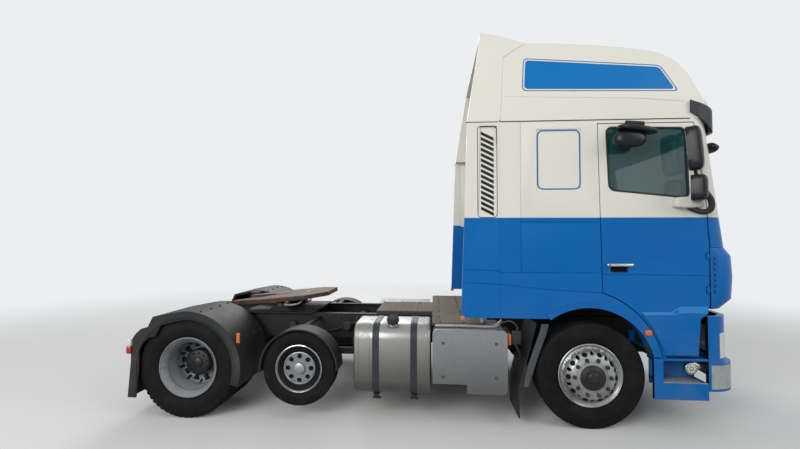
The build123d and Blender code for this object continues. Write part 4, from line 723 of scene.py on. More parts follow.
def make_tyre(name, centres, axle, half, radius, lip_r, rim_half, side, body, node, lugs=0):
    shape = Shape()
    grooves = (0.0, 0.42 * half, -0.42 * half) if lugs else (0.19 * half, -0.19 * half, 0.55 * half,
                                                             -0.55 * half)
    for centre in centres:
        outline, start = tyre_outline(centre, half, radius, lip_r, rim_half, grooves)
        tread = set(range(start - 2, len(outline) - start + 2))
        middle = {i for i in tread if abs(outline[i][0] - centre) < 0.30 * half}
        columns = lug_columns(lugs) if lugs else round_columns(TREAD_STEPS)
        deep = {i for i in tread - middle if outline[i][1] > radius - LUG_DEPTH}
        shape.spin(outline, axle, columns, side, 0.0, deep, LUG_DEPTH)
    shape.piece(name, "tyre_rubber", body, smooth=32, replaces=[node], slot="tyre_rubber")


FRONT_TYRE_Y = 1.033
DRIVE_TYRE_Y = 1.091
TWIN_SPACING = 0.351
PUSHER_TYRE_Y = 1.092
PUSHER_R = 0.365
PUSHER_LIP_R = 0.235
PUSHER_HALF = 0.1075
PUSHER_RIM_HALF = 0.098
for hand, side in SIDES.items():
    make_tyre(f"front_tyre_{hand}", [FRONT_TYRE_Y], (FRONT_X, AXLE_Z), TYRE_HALF, TYRE_R, LIP_R, RIM_HALF,
              side, f"wheel_front_{hand}", f"tyre_front_{hand}")
    make_tyre(f"drive_tyres_{hand}", [DRIVE_TYRE_Y, DRIVE_TYRE_Y - TWIN_SPACING], (DRIVE_X, AXLE_Z),
              TYRE_HALF, TYRE_R, LIP_R, RIM_HALF, side, f"wheels_drive_{hand}", f"tyres_drive_{hand}",
              LUG_COUNT)
    make_tyre(f"pusher_tyre_{hand}", [PUSHER_TYRE_Y], (PUSHER_X, PUSHER_Z), PUSHER_HALF, PUSHER_R,
              PUSHER_LIP_R, PUSHER_RIM_HALF, side, f"wheel_pusher_{hand}", f"tyre_pusher_{hand}")


def bolt(shape, place, direction, radius, height, sides=6):
    """A short bolt head that stands along a direction."""
    place, direction = Vector(place), Vector(direction).normalized()
    across = direction.orthogonal().normalized()
    other = direction.cross(across)
    rings = []
    for rise, r in ((-0.002, radius), (height * 0.8, radius), (height, radius * 0.85)):
        rings.append(shape.ring(place + direction * rise + r * (across * math.cos(a) + other * math.sin(a))
                      for a in (2 * math.pi * k / sides for k in range(sides))))
    shape.loops(rings, closed=False)


# Wheel nuts, hubs and valves
def ring_places(axle, radius, count, start=0.0):
    return [(axle[0] + radius * math.cos(2 * math.pi * k / count + start),
             axle[1] + radius * math.sin(2 * math.pi * k / count + start)) for k in range(count)]


def nut_ring(shape, axle, face, side, stud=0.012):
    """Flange nuts on washers with stud ends, standing outwards from a face."""
    size = NUT_R
    for place in ring_places(axle, BOLT_CIRCLE_R, WHEEL_BOLTS):
        shape.spin([(face - 0.002, 0.0004), (face + 0.005, 0.0004), (face + 0.005, size * 0.96),
                    (face + 0.003, size * 1.12), (face - 0.002, size * 1.12)], place, 20, side)
        shape.spin([(face, 0.0004), (face + 0.026, 0.0004), (face + 0.026, size * 0.72),
                    (face + 0.022, size * 0.92), (face, size * 0.92)], place, 6, side)
        shape.spin([(face, 0.0003), (face + 0.026 + stud, 0.0003), (face + 0.026 + stud, size * 0.32),
                    (face + 0.024 + stud, size * 0.42), (face, size * 0.42)], place, 12, side)


def hand_hole(shape, place, k, face, lean, head, side):
    """A dark disc that paints the shade inside a hand hole, turned by its shares along the radius and outwards."""
    angle = 2 * math.pi * k / WHEEL_BOLTS
    out = Vector((math.cos(angle), 0, math.sin(angle)))
    way = (out * lean[0] + Vector((0, side * lean[1], 0))).normalized()
    bolt(shape, Vector((place[0], side * face, place[1])), way, *head, VENT_STEPS)


BOLT_CIRCLE_R = 0.1675
WHEEL_BOLTS = 10
NUT_R = 0.0175
COVER_HOLE_R = 0.118
FRONT_HOLE_R = 0.2175
DRIVE_HOLE_R = 0.2060
VENT_STEPS = 28
# The bright edge of a wide rim, as (distance outwards from the lip, radius)
RIM_LIP = [(0.0005, 0.2865), (0.006, 0.288), (0.009, 0.293), (0.006, 0.2995), (-0.004, 0.3015),
           (-0.010, 0.2990), (-0.010, 0.2870)]
for hand, side in SIDES.items():
    axle = (FRONT_X, AXLE_Z)
    lip = FRONT_TYRE_Y + RIM_HALF
    nuts = Shape()
    nut_ring(nuts, axle, lip + 0.070, side)
    nuts.piece(f"front_wheel_nuts_{hand}", "black_iron", f"wheel_front_{hand}")
    hub = Shape()
    hub.spin([(0.070, 0.0005), (0.100, 0.0005), (0.102, 0.062), (0.096, 0.084), (0.090, 0.098),
              (0.084, 0.116), (0.070, 0.120)], axle, 64, side, lip)
    hub.spin([(0.096, 0.0005), (0.112, 0.0005), (0.112, 0.040), (0.104, 0.050), (0.096, 0.052)], axle, 48,
             side, lip)
    for place in ring_places(axle, 0.072, 6, 0.3):
        hub.spin([(0.094, 0.0004), (0.109, 0.0004), (0.109, 0.009), (0.094, 0.009)], place, 6, side, lip)
    hub.piece(f"front_hub_{hand}", "greasy_hub", f"wheel_front_{hand}")
    shade = Shape()
    shade.spin([(-0.066, 0.120), (-0.062, 0.120), (-0.062, 0.234), (-0.066, 0.234)], axle, 64, side, lip)
    for k, place in enumerate(ring_places(axle, FRONT_HOLE_R, WHEEL_BOLTS)):
        hand_hole(shade, place, k, lip + 0.0530, (0.68, 0.73), (0.0250, 0.0030), side)
    shade.piece(f"front_wheel_shade_{hand}", "dish_shade", f"wheel_front_{hand}")
    rim = Shape()
    rim.spin(RIM_LIP, axle, 96, side, lip)
    rim.spin([(0.0700, 0.1405), (0.0730, 0.1415), (0.0730, 0.1450), (0.0700, 0.1465)], axle, 72, side, lip)
    rim.piece(f"front_rim_lip_{hand}", "rim_alloy", f"wheel_front_{hand}")
    shape = Shape().tube([(FRONT_X + 0.205, side * (lip + 0.02), AXLE_Z + 0.02),
                          (FRONT_X + 0.225, side * (lip + 0.05), AXLE_Z + 0.022)], radius=0.005)
    shape.piece(f"front_valve_{hand}", "chrome", f"wheel_front_{hand}")

    axle = (DRIVE_X, AXLE_Z)
    lip = DRIVE_TYRE_Y + RIM_HALF
    face = DRIVE_TYRE_Y - TWIN_SPACING / 2 + 0.018
    nuts = Shape()
    nut_ring(nuts, axle, face, side, 0.03)
    nuts.piece(f"drive_wheel_nuts_{hand}", "black_iron", f"wheels_drive_{hand}")
    hub = Shape()
    hub.spin([(face - 0.004, 0.1355), (lip - 0.212, 0.1362), (lip - 0.203, 0.1345), (lip - 0.190, 0.1225),
              (lip - 0.186, 0.112), (lip - 0.186, 0.0005), (lip - 0.189, 0.0005), (lip - 0.192, 0.118),
              (face - 0.004, 0.132)], axle, 64, side)
    for place in ring_places(axle, 0.098, 10, 0.2):
        hub.spin([(-0.188, 0.0004), (-0.170, 0.0004), (-0.172, 0.009), (-0.188, 0.009)], place, 6, side,
                 lip)
    hub.spin([(-0.188, 0.0005), (-0.166, 0.0005), (-0.168, 0.040), (-0.176, 0.052), (-0.188, 0.054)],
             axle, 40, side, lip)
    hub.piece(f"drive_hub_{hand}", "greasy_hub", f"wheels_drive_{hand}")
    rim = Shape()
    rim.spin(RIM_LIP, axle, 96, side, lip)
    for depth, radius in ((0.034, 0.2775), (0.060, 0.2430), (0.215, 0.2240)):
        rim.spin([(lip - depth, radius + 0.003), (lip - depth + 0.003, radius - 0.001),
                  (lip - depth - 0.003, radius - 0.001)], axle, 96, side)
    rim.piece(f"drive_rim_lip_{hand}", "rim_steel", f"wheels_drive_{hand}")
    # Dark discs in the hand holes paint the shade inside them.
    shade = Shape()
    for k, place in enumerate(ring_places(axle, DRIVE_HOLE_R, WHEEL_BOLTS)):
        hand_hole(shade, place, k, face + 0.006, (-0.35, 0.94), (0.031, 0.006), side)
    shade.piece(f"drive_wheel_hole_shade_{hand}", "dish_shade", f"wheels_drive_{hand}")

    axle = (PUSHER_X, PUSHER_Z)
    lip = PUSHER_TYRE_Y + PUSHER_RIM_HALF
    shape = Shape().spin([(0.0005, 0.2235), (0.004, 0.225), (0.006, 0.229), (0.004, 0.2355),
                          (-0.003, 0.2375), (-0.008, 0.2360), (-0.008, 0.2240)], axle, 84, side, lip)
    shape.piece(f"pusher_rim_lip_{hand}", "chrome", f"wheel_pusher_{hand}")
    cover = Shape()
    cover.spin([(-0.0305, 0.1605), (-0.024, 0.159), (-0.0225, 0.152), (-0.0275, 0.147), (-0.0305, 0.147)],
               axle, 72, side, lip)
    cover.spin([(-0.0305, 0.0005), (-0.004, 0.0005), (-0.004, 0.050), (-0.006, 0.0535), (-0.026, 0.0560),
                (-0.0305, 0.0600)], axle, 64, side, lip)
    for place in ring_places(axle, COVER_HOLE_R, 8):
        cover.spin([(-0.0305, 0.0245), (-0.0275, 0.0262), (-0.0275, 0.0290), (-0.0305, 0.0305)], place,
                   24, side, lip)
    cover.piece(f"pusher_cover_{hand}", "rim_alloy", f"wheel_pusher_{hand}")
    shade = Shape()
    shade.spin([(-0.0300, 0.1660), (-0.0262, 0.1650), (-0.0080, 0.2225), (-0.0120, 0.2230)], axle, 72,
               side, lip)
    for place in ring_places(axle, COVER_HOLE_R, 8):
        shade.spin([(-0.0310, 0.0004), (-0.0288, 0.0004), (-0.0288, 0.0240), (-0.0310, 0.0240)], place,
                   28, side, lip)
    shade.piece(f"pusher_wheel_shade_{hand}", "dish_shade", f"wheel_pusher_{hand}")

# Roof sticker, blind window and gutter
BLIND_WINDOW = ahead([(-0.497, 2.838), (-0.497, 2.266), (-0.092, 2.266), (-0.092, 2.838)])
STICKER = ahead([(-0.598, 3.586), (0.690, 3.472), (0.828, 3.195), (-0.628, 3.233)])
for hand, side in SIDES.items():
    ring = Shape()
    outer = round_corners(STICKER, 0.05)
    thin = round_corners(inset(STICKER, 0.008), 0.045)
    rings = []
    for outline, lift in ((outer, 0.0002), (outer, 0.0018), (thin, 0.0018), (thin, 0.0002)):
        rings.append(ring.ring(on_side("roof", x, z, side, lift) for x, z in outline))
    ring.loops(rings)
    ring.piece(f"sticker_outline_{hand}", "sticker", "cab")
    field = Shape().skin(round_corners(inset(STICKER, 0.022), 0.04), "roof", side, 0.0018, 0.0014)
    field.piece(f"sticker_field_{hand}", "sticker", "cab")

    face = SIDE_Y - 0.008
    blind = Shape().border(BLIND_WINDOW, 0.012, (0.06, 0.05), (face - 0.001, face + 0.002), side)
    blind.piece(f"blind_window_line_{hand}", "sticker", "cab")

    shape = Shape().prism(ahead([(-0.846, 2.922), (0.905, 2.922), (0.905, 2.930), (-0.846, 2.930)]),
                          off_side(-0.004, 0.006), side, bevel=0.002)
    shape.piece(f"roof_gutter_{hand}", "rubber_trim", "cab")


# Shapes with rounded sections
def rounded_section(y, z, corner, steps=8):
    """A rounded rectangle across the truck, as (y, z)."""
    low, high = (y[0] + corner, z[0] + corner), (y[1] - corner, z[1] - corner)
    made = []
    for centre, start in (((high[0], high[1]), 0), ((low[0], high[1]), 90), ((low[0], low[1]), 180),
                          ((high[0], low[1]), 270)):
        for k in range(steps + 1):
            angle = math.radians(start + 90 * k / steps)
            made.append((centre[0] + corner * math.cos(angle), centre[1] + corner * math.sin(angle)))
    return made


def along_x(shape, sections, side):
    """A solid through sections, given as (x, (y, z, corner), how far inside that section)."""
    rings = []
    for x, (y, z, corner), inside in sections:
        outline = rounded_section((y[0] + inside, y[1] - inside), (z[0] + inside, z[1] - inside),
                                  max(corner - inside, 0.004))
        rings.append(shape.ring((x, side * py, pz) for py, pz in outline))
    shape.loops(rings, closed=False)


def collar(shape, x, section, grow, side):
    """A ring round a rounded section."""
    y, z, corner = section
    rings = []
    for px, g in ((x[0], 0.0), (x[0], grow), (x[1], grow), (x[1], 0.0)):
        outline = rounded_section((y[0] - g, y[1] + g), (z[0] - g, z[1] + g), corner + g)
        rings.append(shape.ring((px, side * py, pz) for py, pz in outline))
    shape.loops(rings)


def turn(shape, centre, degrees):
    """Turns a shape about a line across the truck."""
    bmesh.ops.rotate(shape.mesh, verts=shape.mesh.verts, cent=centre,
                     matrix=Matrix.Rotation(math.radians(degrees), 3, "Y"))


# Cab sides: grille backing, window rubbers, handles, skirts and mirrors
WINDOW = ahead([(0.135, 2.862), (0.158, 2.250), (0.892, 2.172), (0.872, 2.846)])
WINDOW_CORNER_R = 0.075
HANDLE_Z = 1.555
SLOT_X = (-1.022, -0.908)
SLOT_Z = 2.085
SLOT_PITCH = 0.052
SLOT_FALL = 0.062
SLOT_COUNT = 15
SKIRT_BACK = [(0.645, 0.724), (0.936, 0.724), (0.962, 1.070), (1.036, 1.180), (0.785, 1.177),
              (0.707, 1.127), (0.430, 1.120), (0.500, 1.020), (0.560, 0.920), (0.605, 0.820)]
SKIRT_FRONT = [(0.652, 0.732), (0.930, 0.732), (0.955, 1.064), (1.022, 1.112), (0.800, 1.110),
               (0.716, 1.090), (0.458, 1.088), (0.512, 1.016), (0.570, 0.918), (0.614, 0.820)]
CHAMFER_TOP = [(0.437, 1.120), (0.707, 1.125), (0.785, 1.175), (1.034, 1.178)]
CHAMFER_FOOT = [(0.458, 1.092), (0.716, 1.094), (0.800, 1.114), (1.022, 1.116)]
ROOF_LEDGE = ahead([(-0.79, 3.180), (-0.46, 3.168), (0.0, 3.152), (0.467, 3.133), (0.656, 3.115),
                    (0.86, 3.095)])
BELT_Z = (1.990, 1.999)
# Boxes of the mirror heads ahead of the front axle, outwards and in height, with their lean in degrees
MAIN_MIRROR = ((0.762, 0.916), off_side(0.068, 0.246), (2.412, 2.808), -4.5)
WIDE_MIRROR = ((0.788, 0.952), off_side(0.060, 0.250), (2.142, 2.372), 0.0)
MIRROR_TURN = 33


def mirror_glass(shape, place, side):
    """The flat glass on a mirror's rear side."""
    (x0, x1), (y0, y1), (z0, z1) = place[:3]
    face = (x0 + x1) / 2 - 0.55 * (x1 - x0) / 2
    outline = round_corners([(y0 + 0.026, z0 + 0.024), (y1 - 0.026, z0 + 0.024), (y1 - 0.026, z1 - 0.024),
                             (y0 + 0.026, z1 - 0.024)], 0.03)
    rings = [shape.ring((x, side * y, z) for y, z in outline) for x in (face + 0.003, face - 0.0015)]
    shape.loops(rings, closed=False)


for hand, side in SIDES.items():
    door = f"door_{hand}_body"
    shape = Shape().box(span(-1.070, -0.865), off_side(-0.052, -0.0395), (1.99, 2.895), side)
    shape.piece(f"fairing_grille_backing_{hand}", "rubber_trim", "cab")
    shape = Shape().box(span(-1.078, -0.857), off_side(-0.058, -0.0525), (1.982, 2.903), side, bevel=0.002)
    shape.piece(f"fairing_lining_{hand}", "white_plain", "cab")

    edges = Shape()
    for k in range(SLOT_COUNT):
        z = SLOT_Z + k * SLOT_PITCH
        outer = [(SLOT_X[0] - 0.004, z - 0.007), (SLOT_X[1] + 0.004, z - SLOT_FALL - 0.007),
                 (SLOT_X[1] + 0.004, z - SLOT_FALL + 0.025), (SLOT_X[0] - 0.004, z + 0.025)]
        inner = [(SLOT_X[0], z), (SLOT_X[1], z - SLOT_FALL), (SLOT_X[1], z - SLOT_FALL + 0.018),
                 (SLOT_X[0], z + 0.018)]
        edges.band(ahead(outer), ahead(inner), off_side(-0.030, -0.0145), side)
    edges.piece(f"fairing_slot_edges_{hand}", "rubber_trim", "cab")

    corners = Shape()
    for k in range(4):
        corner = Vector(WINDOW[k])
        before = (Vector(WINDOW[k - 1]) - corner).normalized()
        after = (Vector(WINDOW[(k + 1) % 4]) - corner).normalized()
        middle = corner + (before + after) * WINDOW_CORNER_R
        start, end = corner + before * WINDOW_CORNER_R, corner + after * WINDOW_CORNER_R
        arc = []
        for j in range(9):
            share = j / 8
            point = start.lerp(end, share) - middle
            arc.append(middle + point.normalized() * ((start - middle).length * (1 - share)
                                                      + (end - middle).length * share))
        corners.prism([tuple(corner - (before + after) * 0.002)] + [tuple(q) for q in arc],
                      off_side(-0.020, -0.0005), side)
    corners.piece(f"window_corners_{hand}", "white_plain", door)

    rubber_frame = Shape()
    outer = round_corners(inset(WINDOW, 0.001), 0.070)
    rubber_frame.band(outer, round_corners(inset(WINDOW, 0.017), 0.058), off_side(-0.030, 0.0015), side)
    rubber_frame.piece(f"window_rubber_{hand}", "rubber_trim", door)

    handle = Shape()
    handle.box(span(0.129, 0.369), off_side(0.010, 0.030), (HANDLE_Z - 0.014, HANDLE_Z + 0.014),
               side, bevel=0.009, steps=4)
    for x in (0.150, 0.340):
        handle.box(span(x - 0.014, x + 0.014), off_side(-0.004, 0.016),
                   (HANDLE_Z - 0.010, HANDLE_Z + 0.010), side, bevel=0.003)
    handle.piece(f"door_handle_{hand}", "chrome", door)
    # A dark cup in the handle's pocket paints the shade inside it.
    pocket_shade = Shape()
    pocket_outline = ahead([(0.168, 1.486), (0.329, 1.486), (0.329, 1.568), (0.168, 1.568)])
    pocket_shade.border(pocket_outline, 0.006, (0.018, 0.014), off_side(-0.014, 0.0008), side)
    pocket_shade.prism(round_corners(inset(pocket_outline, 0.006), 0.014), off_side(-0.0235, -0.0215), side)
    pocket_shade.piece(f"handle_pocket_shade_{hand}", "dish_shade", door)
    recess = Shape()
    recess_outline = ahead([(-1.062, 2.000), (-0.872, 2.000), (-0.872, 2.888), (-1.062, 2.888)])
    recess.border(recess_outline, 0.006, (0.040, 0.036), off_side(-0.016, 0.0008), side)
    recess.box(span(-1.170, -0.866), off_side(-0.006, 0.0008), (2.921, 2.929), side)
    recess.piece(f"fairing_grille_line_{hand}", "rubber_trim", "cab")
    shape = Shape().spin([(0.028, 0.0004), (0.0318, 0.0004), (0.0318, 0.0068), (0.028, 0.0075)],
                         (front_x(0.152), HANDLE_Z), 20, side, SIDE_Y)
    shape.piece(f"door_lock_{hand}", "rubber_trim", door)

    skirt = Shape()
    rings = [skirt.ring((FRONT_X + x, side * y, z) for x, z in outline)
             for outline, y in ((SKIRT_BACK, SIDE_Y - 0.001), (SKIRT_FRONT, SIDE_Y + 0.011))]
    skirt.loops(rings, closed=False)
    skirt.piece(f"door_skirt_{hand}", "blue_plain", door)
    # The skirt's chamfer is lighter blue: a painted highlight.
    chamfer = Shape()
    rings = []
    for (x0, z0), (x1, z1) in zip(CHAMFER_TOP, CHAMFER_FOOT):
        section = [(x0, -0.002, z0), (x0, 0.0008, z0), (x1, 0.0122, z1), (x1, 0.004, z1)]
        rings.append(chamfer.ring(route(side, section, SIDE_Y)))
    chamfer.loops(rings, closed=False)
    chamfer.piece(f"door_skirt_edge_highlight_{hand}", "blue_light", door)

    shape = Shape().pod(span(0.722, 0.985), off_side(-0.030, 0.085), (2.082, 2.186), side, squareness=0.42)
    shape.piece(f"mirror_base_{hand}", "white_plain", door)
    shells = Shape()
    glasses = Shape()
    for (x0, x1), y, z, lean in (MAIN_MIRROR, WIDE_MIRROR):
        middle = Vector((front_x((x0 + x1) / 2), side * (y[0] + y[1]) / 2, (z[0] + z[1]) / 2))
        for shape in (shells, glasses):
            start = len(shape.mesh.verts)
            if shape is shells:
                shape.pod(span(x0, x1), y, z, side, squareness=0.42, flat=0.55)
            else:
                mirror_glass(shape, (span(x0, x1), y, z), side)
            shape.mesh.verts.ensure_lookup_table()
            made = shape.mesh.verts[start:]
            for degrees, axis in ((side * MIRROR_TURN, "Z"), (lean, "Y")):
                bmesh.ops.rotate(shape.mesh, verts=made, cent=middle,
                                 matrix=Matrix.Rotation(math.radians(degrees), 3, axis))
    arms = Shape()
    arms.tube(route(side, [(0.86, 0.03, 2.095), (0.945, 0.085, 2.045), (0.995, 0.125, 2.065),
                           (0.995, 0.140, 2.140), (0.945, 0.150, 2.215)], SIDE_Y), radius=0.026, steps=16)
    arms.tube(route(side, [(0.925, -0.008, 2.812), (0.900, 0.055, 2.815), (0.855, 0.120, 2.780)], SIDE_Y),
              radius=0.017, steps=12)
    arms.tube(route(side, [(0.900, 0.130, 2.180), (0.905, 0.075, 2.400), (0.880, 0.085, 2.640)], SIDE_Y),
              radius=0.015, steps=12)
    if side < 0:
        shade = Shape()
        shade.pod(span(0.190, 0.535), off_side(0.045, 0.240), (2.762, 2.824), side, squareness=0.7)
        turn(shade, (front_x(0.36), 0, 2.80), 9)
        shade.piece("kerb_mirror_shade", "black_gloss", door, smooth=50)
        shells.pod(span(0.150, 0.440), off_side(0.070, 0.215), (2.628, 2.786), side, squareness=0.8)
        arms.tube(route(side, [(0.34, -0.008, 2.868), (0.34, 0.05, 2.868), (0.35, 0.11, 2.820)], SIDE_Y),
                  radius=0.017, steps=12)
        arms.tube(route(side, [(0.27, 0.13, 2.862), (0.43, 0.13, 2.850)], SIDE_Y), radius=0.020, steps=12)
    shells.piece(f"mirror_shells_{hand}", "black_gloss", door, smooth=50, replaces=[f"mirrors_{hand}"],
                 slot="trim_grey")
    glasses.piece(f"mirror_glasses_{hand}", "mirror", door, smooth=50)
    arms.piece(f"mirror_arms_{hand}", "rubber_trim", door, smooth=50)

    # Light blue strips along the paint split: a painted highlight on the belt crease.
    belt = Shape()
    for x in (span(-1.170, -0.856), span(-0.840, 0.060)):
        belt.box(x, off_side(-0.004, 0.0016), BELT_Z, side, bevel=0.001)
    belt.piece(f"belt_highlight_cab_{hand}", "blue_light", "cab")
    shape = Shape().box(span(0.085, 1.020), off_side(-0.004, 0.0016), BELT_Z, side, bevel=0.001)
    shape.piece(f"belt_highlight_door_{hand}", "blue_light", door)
    shape = Shape().tube([on_side("roof", x, z, side, -0.002) for x, z in ROOF_LEDGE], radius=0.006,
                         steps=8)
    shape.piece(f"roof_ledge_{hand}", "white_plain", "cab")

    louvre = ahead([(1.086, 1.290), (1.086, 1.640), (1.104, 1.636), (1.104, 1.300)])
    vent = Shape().skin(round_corners(louvre, 0.01, 3), "front_panel", side, 0.0015, 0.006)
    vent.piece(f"corner_vent_{hand}", "rubber_trim", "cab")
    slats = Shape()
    for k in range(1, 7):
        z = 1.29 + 0.050 * k
        slat = ahead([(1.085, z - 0.012), (1.106, z - 0.012), (1.106, z + 0.012), (1.085, z + 0.012)])
        slats.skin(slat, "front_panel", side, 0.0045, 0.006)
    slats.piece(f"corner_vent_slats_{hand}", "blue_plain", "cab")

    shape = Shape().pod(span(0.462, 0.524), off_side(0.004, 0.030), (0.905, 0.958), side, squareness=0.6)
    shape.piece(f"arch_marker_{hand}", "amber", "cab")
    shape = Shape().pod(span(-1.225, -1.185), off_side(-0.020, 0.004), (1.012, 1.062), side, squareness=0.6)
    shape.piece(f"fairing_lamp_{hand}", "amber", "cab")

# Front mirror: a slim head that slopes forwards and down
mirror_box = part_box("front_mirror")
mirror_y = (-mirror_box[1].y, -mirror_box[0].y)
HEAD_X = (mirror_box[0].x - 0.002, mirror_box[0].x + 0.100)
HEAD_Z = mirror_box[0].z + 0.085
head = Shape()
head.pod(HEAD_X, (mirror_y[0] + 0.01, mirror_y[1] - 0.01), (HEAD_Z - 0.036, HEAD_Z + 0.036), -1,
         squareness=0.62)
turn(head, (sum(HEAD_X) / 2, 0, HEAD_Z), 32)
head.piece("front_mirror_shell", "black_gloss", "cab", smooth=50, replaces=["front_mirror"],
           slot="trim_grey")
arm = Shape()
middle = (mirror_y[0] + mirror_y[1]) / 2
arm.tube([(HEAD_X[0] + 0.030, -middle, HEAD_Z + 0.020), (HEAD_X[0] + 0.012, -middle, HEAD_Z + 0.050),
          (mirror_box[0].x + 0.004, -middle, mirror_box[1].z - 0.018)], radius=0.014, steps=12)
arm.piece("front_mirror_arm", "rubber_trim", "cab")

# Front: wipers, grille, lamps, blank plate and tape
for i, (foot, tip) in enumerate((((-0.25, 1.735), (-0.95, 1.86)), ((0.55, 1.735), (-0.15, 1.86)))):
    wiper = Shape()
    arm = [on_front("front_panel", foot[0], foot[1] - 0.03, 0.02)]
    for share in (0.25, 0.5, 0.75):
        y = foot[0] + (tip[0] - foot[0]) * share
        z = foot[1] + 0.05 + (tip[1] - foot[1]) * share
        arm.append(on_front("windscreen", y, z, 0.035))
    wiper.tube(arm, radius=0.008, steps=8)
    blade = []
    for share in (0.0, 0.25, 0.5, 0.75, 1.0):
        y = arm[-1].y - 0.36 + 0.72 * share
        blade.append(on_front("windscreen", max(min(y, 1.0), -1.0), 1.83 + 0.03 * share, 0.016))
    wiper.tube(blade, radius=0.010, steps=8)
    wiper.piece(f"wiper_{i + 1}", "rubber_trim", "cab")

Shape().box(span(1.290, 1.300), (-0.80, 0.80), (1.185, 1.640)).piece("grille_backing", "rubber_trim", "cab")
BAR_Z = 1.275
BAR_PITCH = 0.084
BAR_GAP_Y = 0.015
BAR_END_Y = 0.74
trim = Shape()
for k in range(4):
    z = BAR_Z + BAR_PITCH * k
    for y0, y1 in ((-BAR_END_Y, -BAR_GAP_Y), (BAR_GAP_Y, BAR_END_Y)):
        trim.tube([on_front("front_panel", y0 + (y1 - y0) * t / 6, z, -0.0065) for t in range(7)],
                  radius=0.006, steps=8)
trim.piece("grille_bars", "chrome", "cab")


def stretch(place, rear, front):
    """A straight line along the truck through a place."""
    return [place + Vector((rear, 0, 0)), place + Vector((front, 0, 0))]


# The lenses of a headlamp, as (distance from the middle, radius)
HEADLAMPS = ((0.79, 0.070), (0.96, 0.078))
HEADLAMP_Z = 0.815
fog = Shape()
lens = Shape()
rings = Shape()
for side in (-1, 1):
    centre = Vector((front_x(1.330), side * 0.765, 0.525))
    fog.tube(stretch(centre, -0.02, 0.012), radius=0.061, steps=32)
    lens.tube(stretch(centre, 0.010, 0.022), radius=0.050, steps=32)
    for y, r in HEADLAMPS:
        place = on_front("headlamps", side * y, HEADLAMP_Z)
        lens.tube(stretch(place, -0.02, 0.006), r, steps=36)
        rings.tube([place + Vector((0.004, r * math.cos(a), r * math.sin(a)))
                    for a in (2 * math.pi * k / 24 for k in range(25))], radius=0.005, steps=6, divide=2)
fog.piece("fog_lamp_housings", "rubber_trim", "chassis")
lens.piece("lamp_lenses", "white_lens", "chassis")
rings.piece("lamp_rings", "chrome", "chassis")
PLATE_Y = (-0.26, 0.26)
plate = Shape()
places = [on_front("bumper", y, 0.70, 0.0) for y in PLATE_Y]
plate.box((places[0].x - 0.006, on_front("bumper", 0, 0.70).x + 0.012), PLATE_Y, (0.665, 0.775),
          bevel=0.004)
plate.piece("blank_plate_front", "plate_white", "chassis")


def corner_patch(name, material, angles, heights, side, lift, nodes=("bumper", "headlamps"),
                 thickness=0.003):
    """A thin sheet wrapped round a front corner, found by rays towards the corner's middle."""
    centre = (front_x(1.08), side * 0.98)
    rows = []
    for angle in angles:
        a = math.radians(angle)
        way = Vector((math.cos(a), side * math.sin(a), 0))
        column = []
        for z in heights:
            start = Vector((centre[0], centre[1], z)) + way * 1.2
            found = [h for h in (tree_of(node).ray_cast(start, -way) for node in nodes) if h[0] is not None]
            if not found:
                raise SystemExit(f"{name}: no surface at {angle} degrees, height {z}")
            hit = min(found, key=lambda h: h[3])[0]
            column.append((hit + way * lift, hit - way * thickness))
        rows.append(column)
    shape = Shape()
    front = [shape.ring(pair[0] for pair in column) for column in rows]
    back = [shape.ring(pair[1] for pair in column) for column in rows]
    shape.loops([column + rear[::-1] for column, rear in zip(front, back)], closed=False)
    shape.piece(name, material, "chassis", smooth=50)


for hand, side in SIDES.items():
    corner_patch(f"corner_lamp_{hand}", "white_lens", range(38, 80, 6), (0.70, 0.76, 0.82, 0.88, 0.93),
                 side, 0.003)
    corner_patch(f"corner_tape_{hand}", "tape", range(30, 99, 6), (0.425, 0.48, 0.54, 0.60, 0.64), side,
                 0.0015)

# Entry steps: tread plates, work lamp and stays
for hand, side in SIDES.items():
    tread = Shape()
    for k in range(8):
        x = front_x(0.640 + 0.044 * k)
        tread.box((x, x + 0.030), off_side(-0.225, -0.035), (0.470, 0.477), side, bevel=0.002)
    tread.box(span(0.618, 1.022), off_side(-0.033, -0.009), (0.4705, 0.4775), side, bevel=0.003)
    tread.piece(f"step_treads_{hand}", "step_alloy", "chassis", slot="deck_alloy")
    lamp = Shape()
    x, z = front_x(0.890), 0.600
    lamp.spin([(-0.075, 0.0005), (-0.030, 0.0005), (-0.030, 0.048), (-0.034, 0.054), (-0.060, 0.054),
               (-0.075, 0.040)], (x, z), 40, side, SIDE_Y)
    lamp.box((x - 0.012, front_x(1.040)), off_side(-0.085, -0.070), (z - 0.012, z + 0.012), side,
             bevel=0.003)
    lamp.piece(f"step_lamp_{hand}", "chrome", "chassis")
    leds = Shape()
    for radius, count in ((0.0, 1), (0.030, 8)):
        for place in ring_places((x, z), radius, count):
            leds.spin([(-0.032, 0.0003), (-0.026, 0.0003), (-0.028, 0.0085), (-0.032, 0.0095)], place, 14,
                      side, SIDE_Y)
    leds.piece(f"step_leds_{hand}", "white_lens", "chassis")

